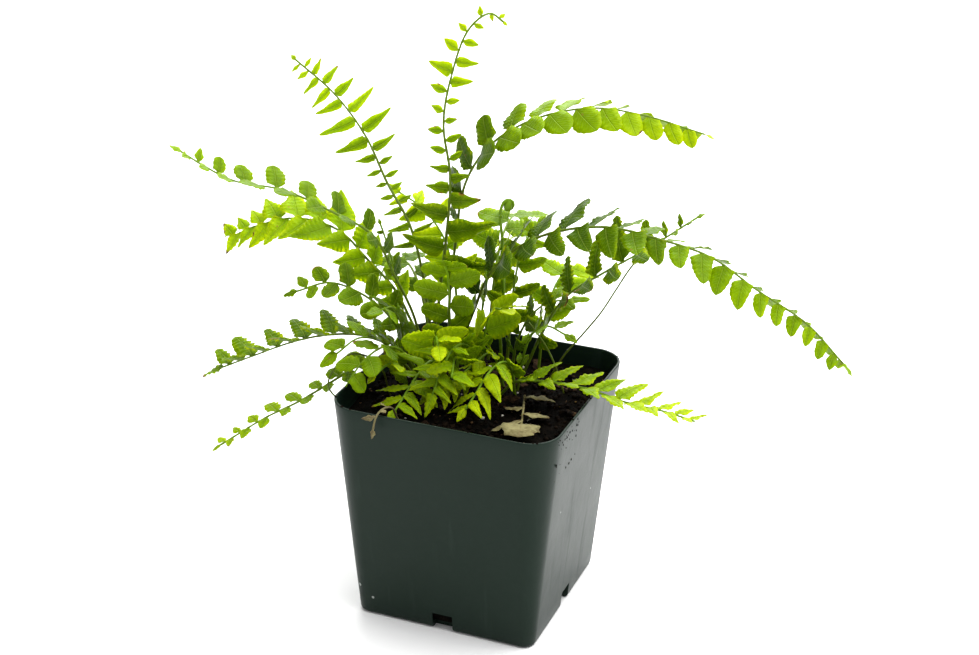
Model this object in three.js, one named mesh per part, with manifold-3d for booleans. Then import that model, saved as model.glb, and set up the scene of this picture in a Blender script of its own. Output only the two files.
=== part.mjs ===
// A young sword fern in a square, tapered nursery pot of thin green plastic.
// Millimetres, +Z up. The origin is the middle of the pot's underside; the pot's sides face X and Y.
import * as THREE from "three";
import { mergeVertices } from "three/addons/utils/BufferGeometryUtils.js";
import Module from "manifold-3d";

const wasm = await Module();
wasm.setup();
const { Manifold } = wasm;

// ---------------------------------------------------------------- driving dimensions

const pot = {
  topWidth: 102, // across the flats at the rim
  bottomWidth: 83,
  height: 104,
  wall: 1.2,
  topCorner: 14, // corner radius at the rim
  bottomCorner: 5.5,
  cornerSteps: 4,
  floor: 3.4, // top of the inside floor
  recess: 1.2, // how far the underside is hollowed above the foot ring
  footRing: 6,
  centrePad: 24, // width of the flat pad in the middle of the underside
  slotWidth: 9.5, // the drain slot at the foot of each wall
  slotHeight: 8,
  slotDepth: 8, // across the wall, half of it outside
};

const soil = {
  belowRim: 8,
  gap: 0.3, // clearance to the pot, and round each stem
  bump: 1.2, // height of the lumps on its surface
  // the waves that make them: per mm of x, per mm of y, and phase
  waves: [[0.21, 0.13, 0], [-0.29, 0.17, 2], [0.11, 0.37, 4]],
  rings: 4,
  stemDepth: 9, // how deep each stem stands in its hole
  stemStraight: 4, // how far it goes on straight above the soil
  holeEnd: 0.5, // room under the stem's end
};

const blade = {
  thickness: 0.7,
  largeFrom: 20, // leaflets this long have three points a side, and shorter ones two or one
  smallBelow: 8,
  offRib: 0.5, // least distance between the rib's surface and a blade's own points
  foot: 0.45, // half width of a leaflet's foot, and how much of its length is added to that
  footShare: 0.02,
};

const rib = {
  footRadius: 0.9,
  tipRadius: 0.42,
  taper: 1.25, // how many times faster than the rib's length it gets thin
  step: 14, // longest piece of rib drawn straight, and how far its middle may be off the curve
  offCurve: 0.25,
  bareTip: 1.5, // length at the tip that bears no leaflet but the last
};

// How far leaflets stray from their frond's rule, as shares for sizes and degrees for angles, and
// how they bend as shares of their length or width.
const stray = { length: 0.12, width: 0.1, lean: 6, lift: 9, twist: 8, hook: 0.06, sag: 0.1, crease: 0.1 };
const bend = { hook: 0.1, sag: 0.12, crease: 0.12 };
const tilt = 17; // turn of each leaflet about its midrib, which lets neighbours lap like slats

// The leaflet that ends a frond: its length against the last of the frond's sizes, its width to
// that length, how far it starts before the rib's end, and how it bends.
const lastLeaflet = { longer: 1.1, wide: 0.6, start: 0.6, hook: 0.05, sag: 0.1, crease: 0.1 };

// The share of its pitch a frond keeps between small leaflets, from their size against its largest.
const crowding = { least: 0.54, plain: 0.2, bySize: 0.8 };

// What is tried in turn to keep plants clear of each other.
const clearance = 0.45; // least gap between one frond and the next
const ownClearance = 0.2; // and between leaflets of one frond
const bows = [0, 2, -2, 4, -4, 6, -6, 8, -8, 11, -11, 14, -14]; // sideways bend of a rib
const tips = [0, 14, -14, 28, -28, 42, -42]; // change of a leaflet's lift, in degrees
const shrinks = [1, 0.82, 0.64];

// Each frond stands at root (x, y) on the soil and leans towards heading, in degrees from +X.
// path lists how far out and how far up from the root its rib passes. leaves: from is the bare
// share of the rib, sizes the leaflets' lengths at even steps along the rest, wide their width
// to length, pitch the step along the rib where they are longest, shape the kind of their
// outline, lean how far they point forward, lift how far they rise from the frond's own plane at
// the rib's foot and at its tip, and roll how far that plane is turned about the rib there.
const fronds = [
  {
    name: "frond_tall_centre", root: [-26, 12], heading: 40, tone: "bright",
    path: [[1, 36], [4, 62], [6, 92], [3, 116], [6, 135], [14, 156], [23, 162], [29, 158]],
    leaves: { from: 0.3, sizes: [22, 20, 10, 7, 6, 11, 5, 3], wide: 0.64, pitch: 8,
      shape: "pointed", lean: 6, lift: [4, 4], roll: [72, 72] },
  },
  {
    name: "frond_high_right", root: [-22, 17], heading: 22, tone: "deep",
    path: [[0, 35], [2, 57], [7, 90], [18, 107], [36, 118], [60, 123], [82, 120], [108, 112]],
    leaves: { from: 0.36, sizes: [15, 17, 16, 16, 15, 13, 11, 6], wide: 0.78, pitch: 6.2,
      shape: "round", lean: 20, lift: [100, -50], roll: [50, 0] },
  },
  {
    name: "frond_long_right", root: [-16, 8], heading: 2, tone: "deep",
    path: [[3, 17], [9, 35], [16, 53], [27, 66], [43, 76], [67, 82], [89, 80], [112, 75], [131, 64],
      [153, 52], [169, 37]],
    leaves: { from: 0.18, sizes: [16, 19, 20, 17, 13, 14, 11, 9, 7], wide: 0.74, pitch: 6.8,
      shape: "oblong", lean: 18, lift: [42, -48], roll: [34, 0] },
  },
  {
    name: "frond_back_left", root: [-29, 24], heading: 156, tone: "pale",
    path: [[7, 15], [13, 42], [21, 61], [36, 77], [50, 95], [71, 110], [100, 121]],
    leaves: { from: 0.34, sizes: [11, 10, 6, 8, 17, 15, 12, 8, 4], wide: 0.42, pitch: 6,
      shape: "pointed", lean: 0, lift: [4, 4], roll: [-10, -50] },
  },
  {
    name: "frond_upper_left", root: [-32, 16], heading: 194, tone: "bright",
    path: [[7, 27], [15, 44], [24, 62], [44, 73], [64, 81], [86, 84], [99, 90], [109, 96]],
    leaves: { from: 0.3, sizes: [9, 10, 13, 12, 12, 8, 6], wide: 0.76, pitch: 7.6,
      shape: "round", lean: 14, lift: [24, 30], roll: [-6, -10] },
  },
  {
    name: "frond_pale_left", root: [-31, 20], heading: 180, tone: "pale",
    path: [[11, 20], [19, 34], [33, 47], [46, 58], [66, 61], [86, 55], [103, 46]],
    leaves: { from: 0.24, sizes: [12, 15, 18, 19, 17, 14, 9], wide: 0.74, pitch: 5.6,
      shape: "pointed", lean: 26, lift: [14, 12], roll: [-30, -36] },
  },
  {
    name: "frond_mid_left", root: [-33, 9], heading: 207, tone: "mid",
    path: [[12, 15], [27, 20], [43, 20], [57, 17], [71, 12], [87, 6]],
    leaves: { from: 0.18, sizes: [9, 12, 16, 16, 14, 10], wide: 0.66, pitch: 6.4,
      shape: "oblong", lean: 12, lift: [36, 36], roll: [2, 2] },
  },
  {
    name: "frond_low_left", root: [-30, 1], heading: 211, tone: "mid",
    path: [[6, 9], [15, 13], [24, 11], [41, 1], [53, -6], [68, -13], [88, -25]],
    leaves: { from: 0.26, sizes: [9, 8, 9, 7, 5], wide: 0.78, pitch: 5.6,
      shape: "round", lean: 18, lift: [14, 14], roll: [-8, -8] },
  },
  {
    name: "frond_low_right", root: [10, 22], heading: 18, tone: "mid",
    path: [[4, 9], [9, 22], [19, 40], [35, 52], [55, 65], [74, 79]],
    leaves: { from: 0.2, sizes: [11, 16, 20, 19, 9, 4], wide: 0.58, pitch: 7,
      shape: "oblong", lean: 14, lift: [30, 30], roll: [20, 20] },
  },
  {
    name: "frond_front_right", root: [7, 2], heading: 0, tone: "pale",
    path: [[8, 8], [23, 11], [41, 11], [59, 8], [76, 7], [89, 5]],
    leaves: { from: 0.14, sizes: [12, 15, 16, 15, 12, 7], wide: 0.56, pitch: 5,
      shape: "pointed", lean: 30, lift: [30, 24], roll: [2, 4] },
  },
  {
    name: "frond_front_left", root: [-20, 1], heading: 262, tone: "bright",
    path: [[2, 11], [8, 15], [17, 13], [27, 8], [36, 3]],
    leaves: { from: 0.22, sizes: [12, 16, 18, 15, 10], wide: 0.42, pitch: 3.6,
      shape: "pointed", lean: 20, lift: [6, -4], roll: [0, 0] },
  },
  {
    name: "frond_front_centre", root: [6, 12], heading: 238, tone: "pale",
    path: [[3, 14], [8, 18], [16, 15], [26, 10], [36, 7]],
    leaves: { from: 0.18, sizes: [12, 16, 18, 16, 11], wide: 0.42, pitch: 3.6,
      shape: "pointed", lean: 30, lift: [0, 0], roll: [0, 0] },
  },
  {
    name: "frond_young_left", root: [-37, 13], heading: 196, tone: "mid",
    path: [[5, 16], [14, 28], [25, 36], [38, 40], [53, 35]],
    leaves: { from: 0.26, sizes: [10, 12, 12, 10, 7], wide: 0.72, pitch: 5.6,
      shape: "round", lean: 18, lift: [14, 14], roll: [-20, -30] },
  },
  {
    name: "frond_gold_back", root: [-23, 33], heading: 165, tone: "pale",
    path: [[2, 22], [5, 42], [11, 57], [22, 67], [36, 72]],
    leaves: { from: 0.4, sizes: [12, 14, 15, 13, 8], wide: 0.66, pitch: 6.6,
      shape: "pointed", lean: 20, lift: [8, 8], roll: [-30, -40] },
  },
  {
    name: "frond_mid_back", root: [-1, 34], heading: 70, tone: "mid",
    path: [[2, 22], [5, 41], [10, 55], [20, 62]],
    leaves: { from: 0.34, sizes: [11, 14, 13, 10, 6], wide: 0.64, pitch: 6.6,
      shape: "oblong", lean: 16, lift: [8, 8], roll: [40, 40] },
  },
  {
    name: "frond_inner_front", root: [-9, -4], heading: 286, tone: "bright",
    path: [[2, 13], [7, 21], [14, 23], [23, 19]],
    leaves: { from: 0.22, sizes: [12, 15, 15, 10], wide: 0.7, pitch: 5.4,
      shape: "oblong", lean: 18, lift: [4, 4], roll: [0, 0] },
  },
  {
    name: "frond_inner_centre", root: [-5, 13], heading: 318, tone: "pale",
    path: [[2, 16], [5, 30], [11, 39], [20, 42]],
    leaves: { from: 0.24, sizes: [12, 15, 15, 10], wide: 0.7, pitch: 5.4,
      shape: "round", lean: 18, lift: [4, 4], roll: [0, 0] },
  },
  {
    name: "frond_inner_left", root: [-27, -7], heading: 236, tone: "mid",
    path: [[3, 13], [9, 22], [18, 25], [28, 20], [36, 11]],
    leaves: { from: 0.22, sizes: [10, 12, 12, 9], wide: 0.76, pitch: 5.2,
      shape: "round", lean: 16, lift: [6, 6], roll: [-10, -16] },
  },
  {
    name: "frond_inner_tall", root: [-11, 22], heading: 350, tone: "bright",
    path: [[2, 20], [4, 40], [8, 56], [16, 66]],
    leaves: { from: 0.26, sizes: [11, 13, 12, 8], wide: 0.66, pitch: 6,
      shape: "oblong", lean: 16, lift: [6, 6], roll: [30, 30] },
  },
  {
    name: "frond_inner_gold", root: [-18, -10], heading: 300, tone: "pale",
    path: [[1, 14], [4, 26], [10, 33], [18, 32]],
    leaves: { from: 0.26, sizes: [11, 14, 14, 9], wide: 0.7, pitch: 5.2,
      shape: "round", lean: 16, lift: [6, 6], roll: [10, 10] },
  },
  {
    name: "frond_inner_low", root: [-37, 2], heading: 262, tone: "deep",
    path: [[1, 16], [4, 30], [10, 38], [19, 40]],
    leaves: { from: 0.24, sizes: [11, 14, 13, 9], wide: 0.72, pitch: 5.4,
      shape: "oblong", lean: 16, lift: [6, 6], roll: [-20, -20] },
  },
  {
    name: "frond_inner_right", root: [4, 27], heading: 20, tone: "mid",
    path: [[2, 14], [7, 26], [15, 34], [26, 36]],
    leaves: { from: 0.22, sizes: [9, 12, 11, 8], wide: 0.66, pitch: 5.8,
      shape: "oblong", lean: 16, lift: [10, 10], roll: [26, 26] },
  },
  {
    name: "frond_back", root: [-12, 39], heading: 98, tone: "mid",
    path: [[4, 20], [12, 38], [26, 50], [46, 52], [66, 42], [80, 26]],
    leaves: { from: 0.26, sizes: [12, 17, 18, 15, 10, 6], wide: 0.62, pitch: 9.2,
      shape: "oblong", lean: 18, lift: [0, 0], roll: [0, 0] },
  },
  {
    name: "frond_back_right", root: [13, 38], heading: 82, tone: "bright",
    path: [[3, 16], [9, 29], [19, 37], [32, 37], [44, 29]],
    leaves: { from: 0.26, sizes: [12, 16, 16, 13, 8], wide: 0.64, pitch: 7.6,
      shape: "oblong", lean: 18, lift: [0, 0], roll: [0, 0] },
  },
  {
    name: "frond_back_low", root: [-38, 32], heading: 134, tone: "deep",
    path: [[4, 14], [12, 26], [26, 33], [46, 30], [64, 18], [76, 2]],
    leaves: { from: 0.24, sizes: [11, 14, 15, 13, 9, 5], wide: 0.66, pitch: 8.8,
      shape: "oblong", lean: 18, lift: [0, 0], roll: [0, 0] },
  },
  {
    name: "frond_unfurling", root: [-37, 23], heading: 190, tone: "mid",
    path: [[8, 13], [12, 34], [15, 46], [18, 57], [20, 64]],
    leaves: { from: 0.52, sizes: [5, 7, 6, 3], wide: 0.6, pitch: 5.4,
      shape: "oblong", lean: 30, lift: [20, 20], roll: [-30, -50] },
  },
  {
    name: "frond_crown_front", root: [-2, 4], heading: 258, tone: "bright",
    path: [[3, 17], [9, 25], [17, 26], [26, 20], [34, 11]],
    leaves: { from: 0.22, sizes: [12, 16, 17, 14, 10], wide: 0.42, pitch: 3.8,
      shape: "pointed", lean: 24, lift: [0, 0], roll: [0, 0] },
  },
  {
    name: "frond_crown_left", root: [-33, -4], heading: 222, tone: "mid",
    path: [[4, 14], [12, 23], [22, 26], [32, 20]],
    leaves: { from: 0.22, sizes: [10, 12, 12, 9], wide: 0.74, pitch: 5.4,
      shape: "round", lean: 16, lift: [10, 10], roll: [-12, -18] },
  },
  {
    name: "frond_crown_olive", root: [-28, -14], heading: 246, tone: "pale",
    path: [[2, 10], [6, 17], [12, 19], [19, 16]],
    leaves: { from: 0.24, sizes: [9, 11, 11, 8], wide: 0.7, pitch: 5.2,
      shape: "round", lean: 16, lift: [4, 4], roll: [0, 0] },
  },
  {
    name: "frond_crown_right", root: [12, 14], heading: 340, tone: "mid",
    path: [[3, 16], [8, 28], [16, 34], [26, 33]],
    leaves: { from: 0.24, sizes: [8, 10, 10, 7], wide: 0.66, pitch: 5.8,
      shape: "oblong", lean: 16, lift: [8, 8], roll: [16, 16] },
  },
  {
    name: "frond_crown_fan", root: [14, 6], heading: 254, tone: "pale",
    path: [[3, 13], [9, 19], [18, 18], [28, 11], [35, 6]],
    leaves: { from: 0.2, sizes: [12, 16, 17, 15, 10], wide: 0.42, pitch: 3.8,
      shape: "pointed", lean: 28, lift: [0, 0], roll: [0, 0] },
  },
  {
    name: "frond_crown_high", root: [-14, -1], heading: 284, tone: "mid",
    path: [[1, 26], [3, 44], [7, 57], [14, 64]],
    leaves: { from: 0.3, sizes: [12, 15, 14, 9], wide: 0.64, pitch: 6,
      shape: "round", lean: 16, lift: [4, 4], roll: [10, 10] },
  },
  {
    name: "crozier", root: [3, 20], heading: 35, tone: "pale", footRadius: 0.8,
    path: [[-2, 22], [-1, 42], [-2, 66], [-3, 80], [-1, 84.5], [2, 84], [2.6, 81], [0.8, 79.8]],
    leaves: null,
  },
  {
    name: "bare_stem_long", root: [22, 22], heading: 30, tone: "dry", footRadius: 0.55,
    path: [[8, 13], [17, 24], [24, 33], [30, 43], [36, 53], [40, 58]],
    leaves: null,
  },
  {
    name: "bare_stem_short", root: [33, 16], heading: 168, tone: "dry", footRadius: 0.55,
    path: [[4, 10], [10, 20], [19, 29]],
    leaves: null,
  },
  {
    name: "dead_leaf", root: [19, 5], heading: 288, tone: "dry", footRadius: 0.6,
    path: [[5, 3.5], [14, 2.8], [25, 2.8], [34, 4]],
    leaves: { from: 0.26, sizes: [15, 9, 15, 12], wide: 0.7, pitch: 8.6,
      shape: "oblong", lean: 6, lift: [2, 2], roll: [0, 0] },
  },
  {
    name: "dry_scrap", root: [-22, -37], heading: 258, tone: "dry", footRadius: 0.6,
    path: [[5, 8], [11, 10], [16, 8.4], [18.4, 3]],
    leaves: { from: 0.5, sizes: [4, 6, 4], wide: 0.42, pitch: 5,
      shape: "oblong", lean: 24, lift: [24, 24], roll: [0, 0] },
  },
  {
    name: "dry_stem", root: [-37, -14], heading: 214, tone: "dry", footRadius: 0.6,
    path: [[3, 11], [9, 18], [17, 20], [24, 14], [27, 6], [23, 0], [19, 3]],
    leaves: null,
  },
];

const materialOf = (color, roughness) =>
  new THREE.MeshStandardMaterial({ color, roughness, metalness: 0 });
const materials = {
  plastic: materialOf(0x2b332f, 0.45),
  soil: materialOf(0x2a211a, 0.95),
  bright: materialOf(0x6fa834, 0.5),
  mid: materialOf(0x4f8a35, 0.5),
  deep: materialOf(0x35682f, 0.5),
  pale: materialOf(0xa4c93f, 0.5),
  dry: materialOf(0xa59a6a, 0.9),
};

// ---------------------------------------------------------------- small tools

const radians = THREE.MathUtils.degToRad;
const { lerp, clamp } = THREE.MathUtils;
const vec = (x, y, z) => new THREE.Vector3(x, y, z);
const soilTop = pot.height - soil.belowRim;

// Seeded draws between -1 and 1, the same on every run.
function drawsFrom(seed) {
  let state = seed >>> 0;
  return () => {
    state = (Math.imul(state, 1664525) + 1013904223) >>> 0;
    return (state / 4294967296) * 2 - 1;
  };
}

function solidFrom(points, triangles) {
  return new Manifold(
    new wasm.Mesh({
      numProp: 3,
      vertProperties: new Float32Array(points.flatMap((p) => [p.x, p.y, p.z])),
      triVerts: new Uint32Array(triangles.flat()),
    }),
  );
}

function solidOf(geometry) {
  geometry.deleteAttribute("normal");
  geometry.deleteAttribute("uv");
  const { attributes, index } = mergeVertices(geometry, 1e-4);
  return new Manifold(
    new wasm.Mesh({
      numProp: 3,
      vertProperties: attributes.position.array,
      triVerts: new Uint32Array(index.array),
    }),
  );
}

function geometryOf(solid) {
  const mesh = solid.getMesh();
  return new THREE.BufferGeometry()
    .setAttribute("position", new THREE.BufferAttribute(new Float32Array(mesh.vertProperties), 3))
    .setIndex(new THREE.BufferAttribute(new Uint32Array(mesh.triVerts), 1));
}

// Rings of equally many points, the first one lowest, joined into one closed body.
function loft(rings) {
  const n = rings[0].length;
  const triangles = [];
  for (let r = 0; r + 1 < rings.length; r++)
    for (let i = 0; i < n; i++) {
      const a = r * n + i;
      const b = r * n + ((i + 1) % n);
      triangles.push([a, b, b + n], [a, b + n, a + n]);
    }
  const points = rings.flat();
  for (const ring of [0, rings.length - 1]) {
    const centre = rings[ring].reduce((sum, p) => sum.add(p), vec(0, 0, 0)).divideScalar(n);
    const c = points.push(centre) - 1;
    for (let i = 0; i < n; i++) {
      const a = ring * n + i;
      const b = ring * n + ((i + 1) % n);
      triangles.push(ring ? [c, a, b] : [c, b, a]);
    }
  }
  return solidFrom(points, triangles);
}

// ---------------------------------------------------------------- pot and soil

const halfWidthAt = (z) => lerp(pot.bottomWidth, pot.topWidth, z / pot.height) / 2;
const cornerAt = (z) => lerp(pot.bottomCorner, pot.topCorner, z / pot.height);

// The pot's outline at height z, drawn in by inset.
function squareRing(z, inset) {
  const r = Math.max(cornerAt(z) - inset, 1);
  const c = halfWidthAt(z) - inset - r;
  const ring = [];
  for (const [sx, sy, from] of [[1, -1, -90], [1, 1, 0], [-1, 1, 90], [-1, -1, 180]])
    for (let i = 0; i <= pot.cornerSteps; i++) {
      const t = radians(from + (90 * i) / pot.cornerSteps);
      ring.push(vec(sx * c + r * Math.cos(t), sy * c + r * Math.sin(t), z));
    }
  return ring;
}

function box(width, depth, height, x, y, z) {
  return solidOf(new THREE.BoxGeometry(width, depth, height).translate(x, y, z));
}

function makePot() {
  const { height, wall, floor, recess, footRing, centrePad, slotWidth, slotHeight, slotDepth } = pot;
  const over = 1; // how far a cutting body stands past what it cuts
  const outside = loft([squareRing(0, 0), squareRing(height, 0)]);
  const inside = loft([squareRing(floor, wall), squareRing(height + over, wall)]);
  const hollow = loft([squareRing(-over, footRing), squareRing(recess, footRing)]).subtract(
    box(centrePad, centrePad, 4 * recess, 0, 0, 0),
  );
  const slotMiddle = (slotHeight - over) / 2;
  const slot = box(slotWidth, slotDepth, slotHeight + over, 0, -pot.bottomWidth / 2, slotMiddle);
  return [0, 90, 180, 270].reduce(
    (body, turn) => body.subtract(slot.rotate([0, 0, turn])),
    outside.subtract(inside).subtract(hollow),
  );
}

// Height of the soil's lumps, from three crossing waves.
function lump(x, y) {
  const height = soil.waves.map(([inX, inY, phase]) => Math.sin(inX * x + inY * y + phase));
  return (soil.bump * height.reduce((sum, h) => sum + h, 0)) / soil.waves.length;
}

function makeSoil(stems) {
  const inset = pot.wall + soil.gap;
  const rings = [squareRing(pot.floor + soil.gap, inset)];
  const rim = squareRing(soilTop, inset);
  for (let k = soil.rings; k >= 1; k--)
    rings.push(rim.map((p) => vec((p.x * k) / soil.rings, (p.y * k) / soil.rings, soilTop)));
  for (const ring of rings.slice(1)) for (const p of ring) p.z += lump(p.x, p.y) - soil.bump;
  return loft(rings).subtract(Manifold.union(stems.map(holeOf)));
}

// ---------------------------------------------------------------- fronds

// A rib as a curve, with the frame it carries along: forward, side (across the frond's plane)
// and face (out of that plane, upwards on an arching rib).
function ribOf(frond, aside) {
  const h = radians(frond.heading);
  const out = vec(Math.cos(h), Math.sin(h), 0);
  const across = vec(-Math.sin(h), Math.cos(h), 0);
  const [x, y] = frond.root;
  const foot = vec(x, y, soilTop - soil.bump + lump(x, y));
  const bow = (k) => aside * Math.sin((Math.PI * k) / (frond.path.length + 1));
  const passes = frond.path.map(([along, up], k) =>
    vec(x, y, soilTop)
      .addScaledVector(out, along)
      .addScaledVector(across, bow(k + 1))
      .add(vec(0, 0, up)),
  );
  const start = passes[0].clone().sub(foot).normalize();
  const buried = foot.clone().addScaledVector(start, -soil.stemDepth);
  const above = foot.clone().addScaledVector(start, soil.stemStraight);
  const curve = new THREE.CatmullRomCurve3([buried, foot, above, ...passes], false, "centripetal");
  curve.arcLengthDivisions = 400;
  const length = curve.getLength();
  const [rollFoot, rollTip] = frond.leaves?.roll ?? [0, 0];
  const frameAt = (s) => {
    const t = clamp(s / length, 0, 1);
    const forward = curve.getTangentAt(t);
    const side = across.clone().addScaledVector(forward, -across.dot(forward)).normalize();
    const face = forward.clone().cross(side);
    const roll = radians(lerp(rollFoot, rollTip, t));
    return {
      at: curve.getPointAt(t),
      forward,
      side: side.clone().multiplyScalar(Math.cos(roll)).addScaledVector(face, Math.sin(roll)),
      face: face.clone().multiplyScalar(Math.cos(roll)).addScaledVector(side, -Math.sin(roll)),
      radius: lerp(frond.footRadius ?? rib.footRadius, rib.tipRadius, Math.min(1, t * rib.taper)),
    };
  };
  return { length, frameAt, foot, start };
}

// Corners of a section, from its +side +face edge round towards -side: a rib has three, with its
// ridge below, and the hole that it stands in has four.
const ribCorners = [[1, 1], [-1, 1], [0, -1]];
const holeCorners = [[1, 1], [-1, 1], [-1, -1], [1, -1]];

function sectionOf({ at, side, face, radius }, corners = ribCorners) {
  const halfHeight = Math.max(radius, blade.thickness / 2);
  return corners.map(([i, j]) =>
    at.clone().addScaledVector(side, i * radius).addScaledVector(face, j * halfHeight),
  );
}

// The hole a stem stands in: wider by the gap, from just under the stem's end to where the stem
// is clear of the soil's lumps.
function holeOf({ rib: { frameAt, start } }) {
  const widened = (s, push) => {
    const frame = frameAt(s);
    const at = frame.at.clone().addScaledVector(start, push);
    return sectionOf({ ...frame, at, radius: frame.radius + soil.gap }, holeCorners);
  };
  const { stemDepth, stemStraight, holeEnd } = soil;
  return loft([widened(0, -holeEnd), widened(stemDepth + stemStraight, stemStraight)]);
}

// Half a leaflet's outline, as shares of its length along and of its half width across. The
// side towards the frond's tip has the ear at the base that sword ferns have.
const smallOutline = { ear: [[0.4, 0.98]], plain: [[0.44, 0.88]], middle: [] };
const outlines = {
  oblong: [
    {
      ear: [[0.12, 0.98], [0.44, 0.86], [0.8, 0.54]],
      plain: [[0.2, 0.84], [0.5, 0.8], [0.83, 0.46]],
      middle: [0.3, 0.66],
    },
    { ear: [[0.15, 0.98], [0.7, 0.72]], plain: [[0.26, 0.88], [0.74, 0.62]], middle: [0.42] },
    smallOutline,
  ],
  round: [
    {
      ear: [[0.2, 0.96], [0.55, 1], [0.86, 0.62]],
      plain: [[0.24, 0.88], [0.56, 0.92], [0.86, 0.56]],
      middle: [0.3, 0.66],
    },
    { ear: [[0.24, 0.98], [0.78, 0.82]], plain: [[0.3, 0.92], [0.78, 0.74]], middle: [0.46] },
    smallOutline,
  ],
  pointed: [
    {
      ear: [[0.08, 0.9], [0.36, 0.86], [0.7, 0.42]],
      plain: [[0.14, 0.82], [0.42, 0.74], [0.74, 0.34]],
      middle: [0.28, 0.6],
    },
    { ear: [[0.12, 0.96], [0.56, 0.64]], plain: [[0.2, 0.88], [0.6, 0.52]], middle: [0.38] },
    smallOutline,
  ],
};
const flipped = (triangles) => triangles.map(([a, b, c]) => [a, c, b]);
const outlineFor = (shape, length) =>
  outlines[shape][(length < blade.largeFrom) + (length < blade.smallBelow)];

// The triangles between one edge of a blade and its midrib, both listed from base to tip as
// pairs of point number and share of the length.
function stripBetween(edge, spine) {
  const triangles = [];
  let [i, j] = [0, 0];
  while (i + 1 < edge.length || j + 1 < spine.length) {
    const stepEdge = j + 1 >= spine.length || (i + 1 < edge.length && edge[i + 1][1] <= spine[j + 1][1]);
    const [a, b] = [edge[i][0], spine[j][0]];
    const c = stepEdge ? edge[++i][0] : spine[++j][0];
    if (a !== b && b !== c && a !== c) triangles.push([a, c, b]);
  }
  return triangles;
}

// One leaflet's blade, without its base end. Points 0 and 1 of the upper and of the lower
// surface are where it joins the rib, on the side of the frond's tip and of its foot. Its
// middle surface bends towards the frond's tip, droops at its end and is creased along its
// midrib.
function bladeOf(leaflet) {
  const { shape, base, at, out, radius, axis, across, face, length, width, turn } = leaflet;
  const { hook, sag, crease } = leaflet;
  const { ear, plain, middle } = outlineFor(shape, length);
  const shares = [...ear, ...plain.map(([u, v]) => [u, -v]), [1, 0], ...middle.map((u) => [u, 0])];
  const clearOfRib = radius + blade.offRib;
  const surface = shares.map(([u, v]) => {
    const p = axis.clone().multiplyScalar(u * length);
    p.addScaledVector(across, (v * width) / 2 + hook * length * u * u);
    p.addScaledVector(face, crease * Math.abs(v) * (width / 2) - sag * length * u * u);
    const short = clearOfRib - p.dot(out);
    if (short > 0) p.addScaledVector(out, short);
    return p.add(at);
  });
  const n = shares.length + 2;
  const half = blade.thickness / 2;
  const lifted = (turnUp) => surface.map((p) => p.clone().addScaledVector(face, turnUp * half));
  const points = [base[0], base[1], ...lifted(1), base[2], base[3], ...lifted(-1)];
  const numbered = (list, from) => list.map(([u], k) => [from + k, u]);
  const tip = [2 + ear.length + plain.length, 1];
  const earEdge = [[0, 0], ...numbered(ear, 2), tip];
  const plainEdge = [[1, 0], ...numbered(plain, 2 + ear.length), tip];
  const spine = [...middle.map((u, k) => [tip[0] + 1 + k, u]), tip];
  const upper = middle.length
    ? [[0, spine[0][0], 1], ...stripBetween(earEdge, spine), ...flipped(stripBetween(plainEdge, spine))]
    : [[0, 2, 1], [2, 3, 1], [2, 4, 3]];
  const rim = [...earEdge.map(([k]) => k), ...plainEdge.slice(0, -1).reverse().map(([k]) => k)];
  const triangles = [
    ...upper,
    ...flipped(upper).map((t) => t.map((k) => k + n)),
    ...rim.slice(1).flatMap((b, k) => [[rim[k], b + n, b], [rim[k], rim[k] + n, b + n]]),
  ];
  return { points, count: n, triangles: turn > 0 ? triangles : flipped(triangles) };
}

// The same blade closed at its base, to test how near it comes to others.
function closedBlade({ points, count: n, triangles }, turn) {
  const end = turn > 0 ? [[1, n, 0], [1, n + 1, n]] : [[1, 0, n], [1, n, n + 1]];
  return solidFrom(points, [...triangles, ...end]);
}

// A leaflet's length, from the frond's list of sizes, a share q of the way along its leafy part.
function sizeAt(sizes, q) {
  const k = Math.min(Math.floor(q * (sizes.length - 1)), sizes.length - 2);
  return lerp(sizes[k], sizes[k + 1], q * (sizes.length - 1) - k);
}

// Where each leaflet of a frond starts, and what it looks like before it is bent clear.
function leafletsOf(frond, index) {
  const { leaves, rib: { length } } = frond;
  if (!leaves) return [];
  const draw = drawsFrom(1000 + 37 * index);
  const longest = Math.max(...leaves.sizes);
  const begin = soil.stemDepth + leaves.from * (length - soil.stemDepth);
  const found = [];
  let side = index % 2 ? 1 : -1;
  for (let s = begin; s < length - rib.bareTip; side = -side) {
    const size = sizeAt(leaves.sizes, (s - begin) / (length - begin));
    const long = size * (1 + stray.length * draw());
    found.push({
      s, side, length: long,
      width: long * leaves.wide * (1 + stray.width * draw()),
      lean: leaves.lean + stray.lean * draw(),
      lift: lerp(leaves.lift[0], leaves.lift[1], s / length) + stray.lift * draw(),
      twist: tilt + stray.twist * draw(),
      hook: bend.hook + stray.hook * draw(),
      sag: bend.sag + stray.sag * draw(),
      crease: bend.crease + stray.crease * draw(),
    });
    s += leaves.pitch * Math.max(crowding.least, crowding.plain + (crowding.bySize * size) / longest);
  }
  const { longer, wide, start, ...bent } = lastLeaflet;
  const last = leaves.sizes.at(-1) * longer;
  const end = { s: length - start, side: 0, length: last, width: last * wide };
  found.push({ ...end, lean: 90, lift: 0, twist: 0, ...bent });
  return found;
}

// The half width along the rib of a leaflet's foot.
const footHalf = (leaf) => blade.foot + blade.footShare * leaf.length;

// The four points where a leaflet joins the rib's sections before and after it.
function joinOf(frond, leaf) {
  if (!leaf.side) {
    const [right, left, ridge] = sectionOf(frond.rib.frameAt(frond.rib.length));
    return [left, right, ridge, ridge];
  }
  const near = sectionOf(frond.rib.frameAt(leaf.s - footHalf(leaf)));
  const far = sectionOf(frond.rib.frameAt(leaf.s + footHalf(leaf)));
  const top = leaf.side > 0 ? 0 : 1;
  return [far[top], near[top], far[2], near[2]];
}

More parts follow.
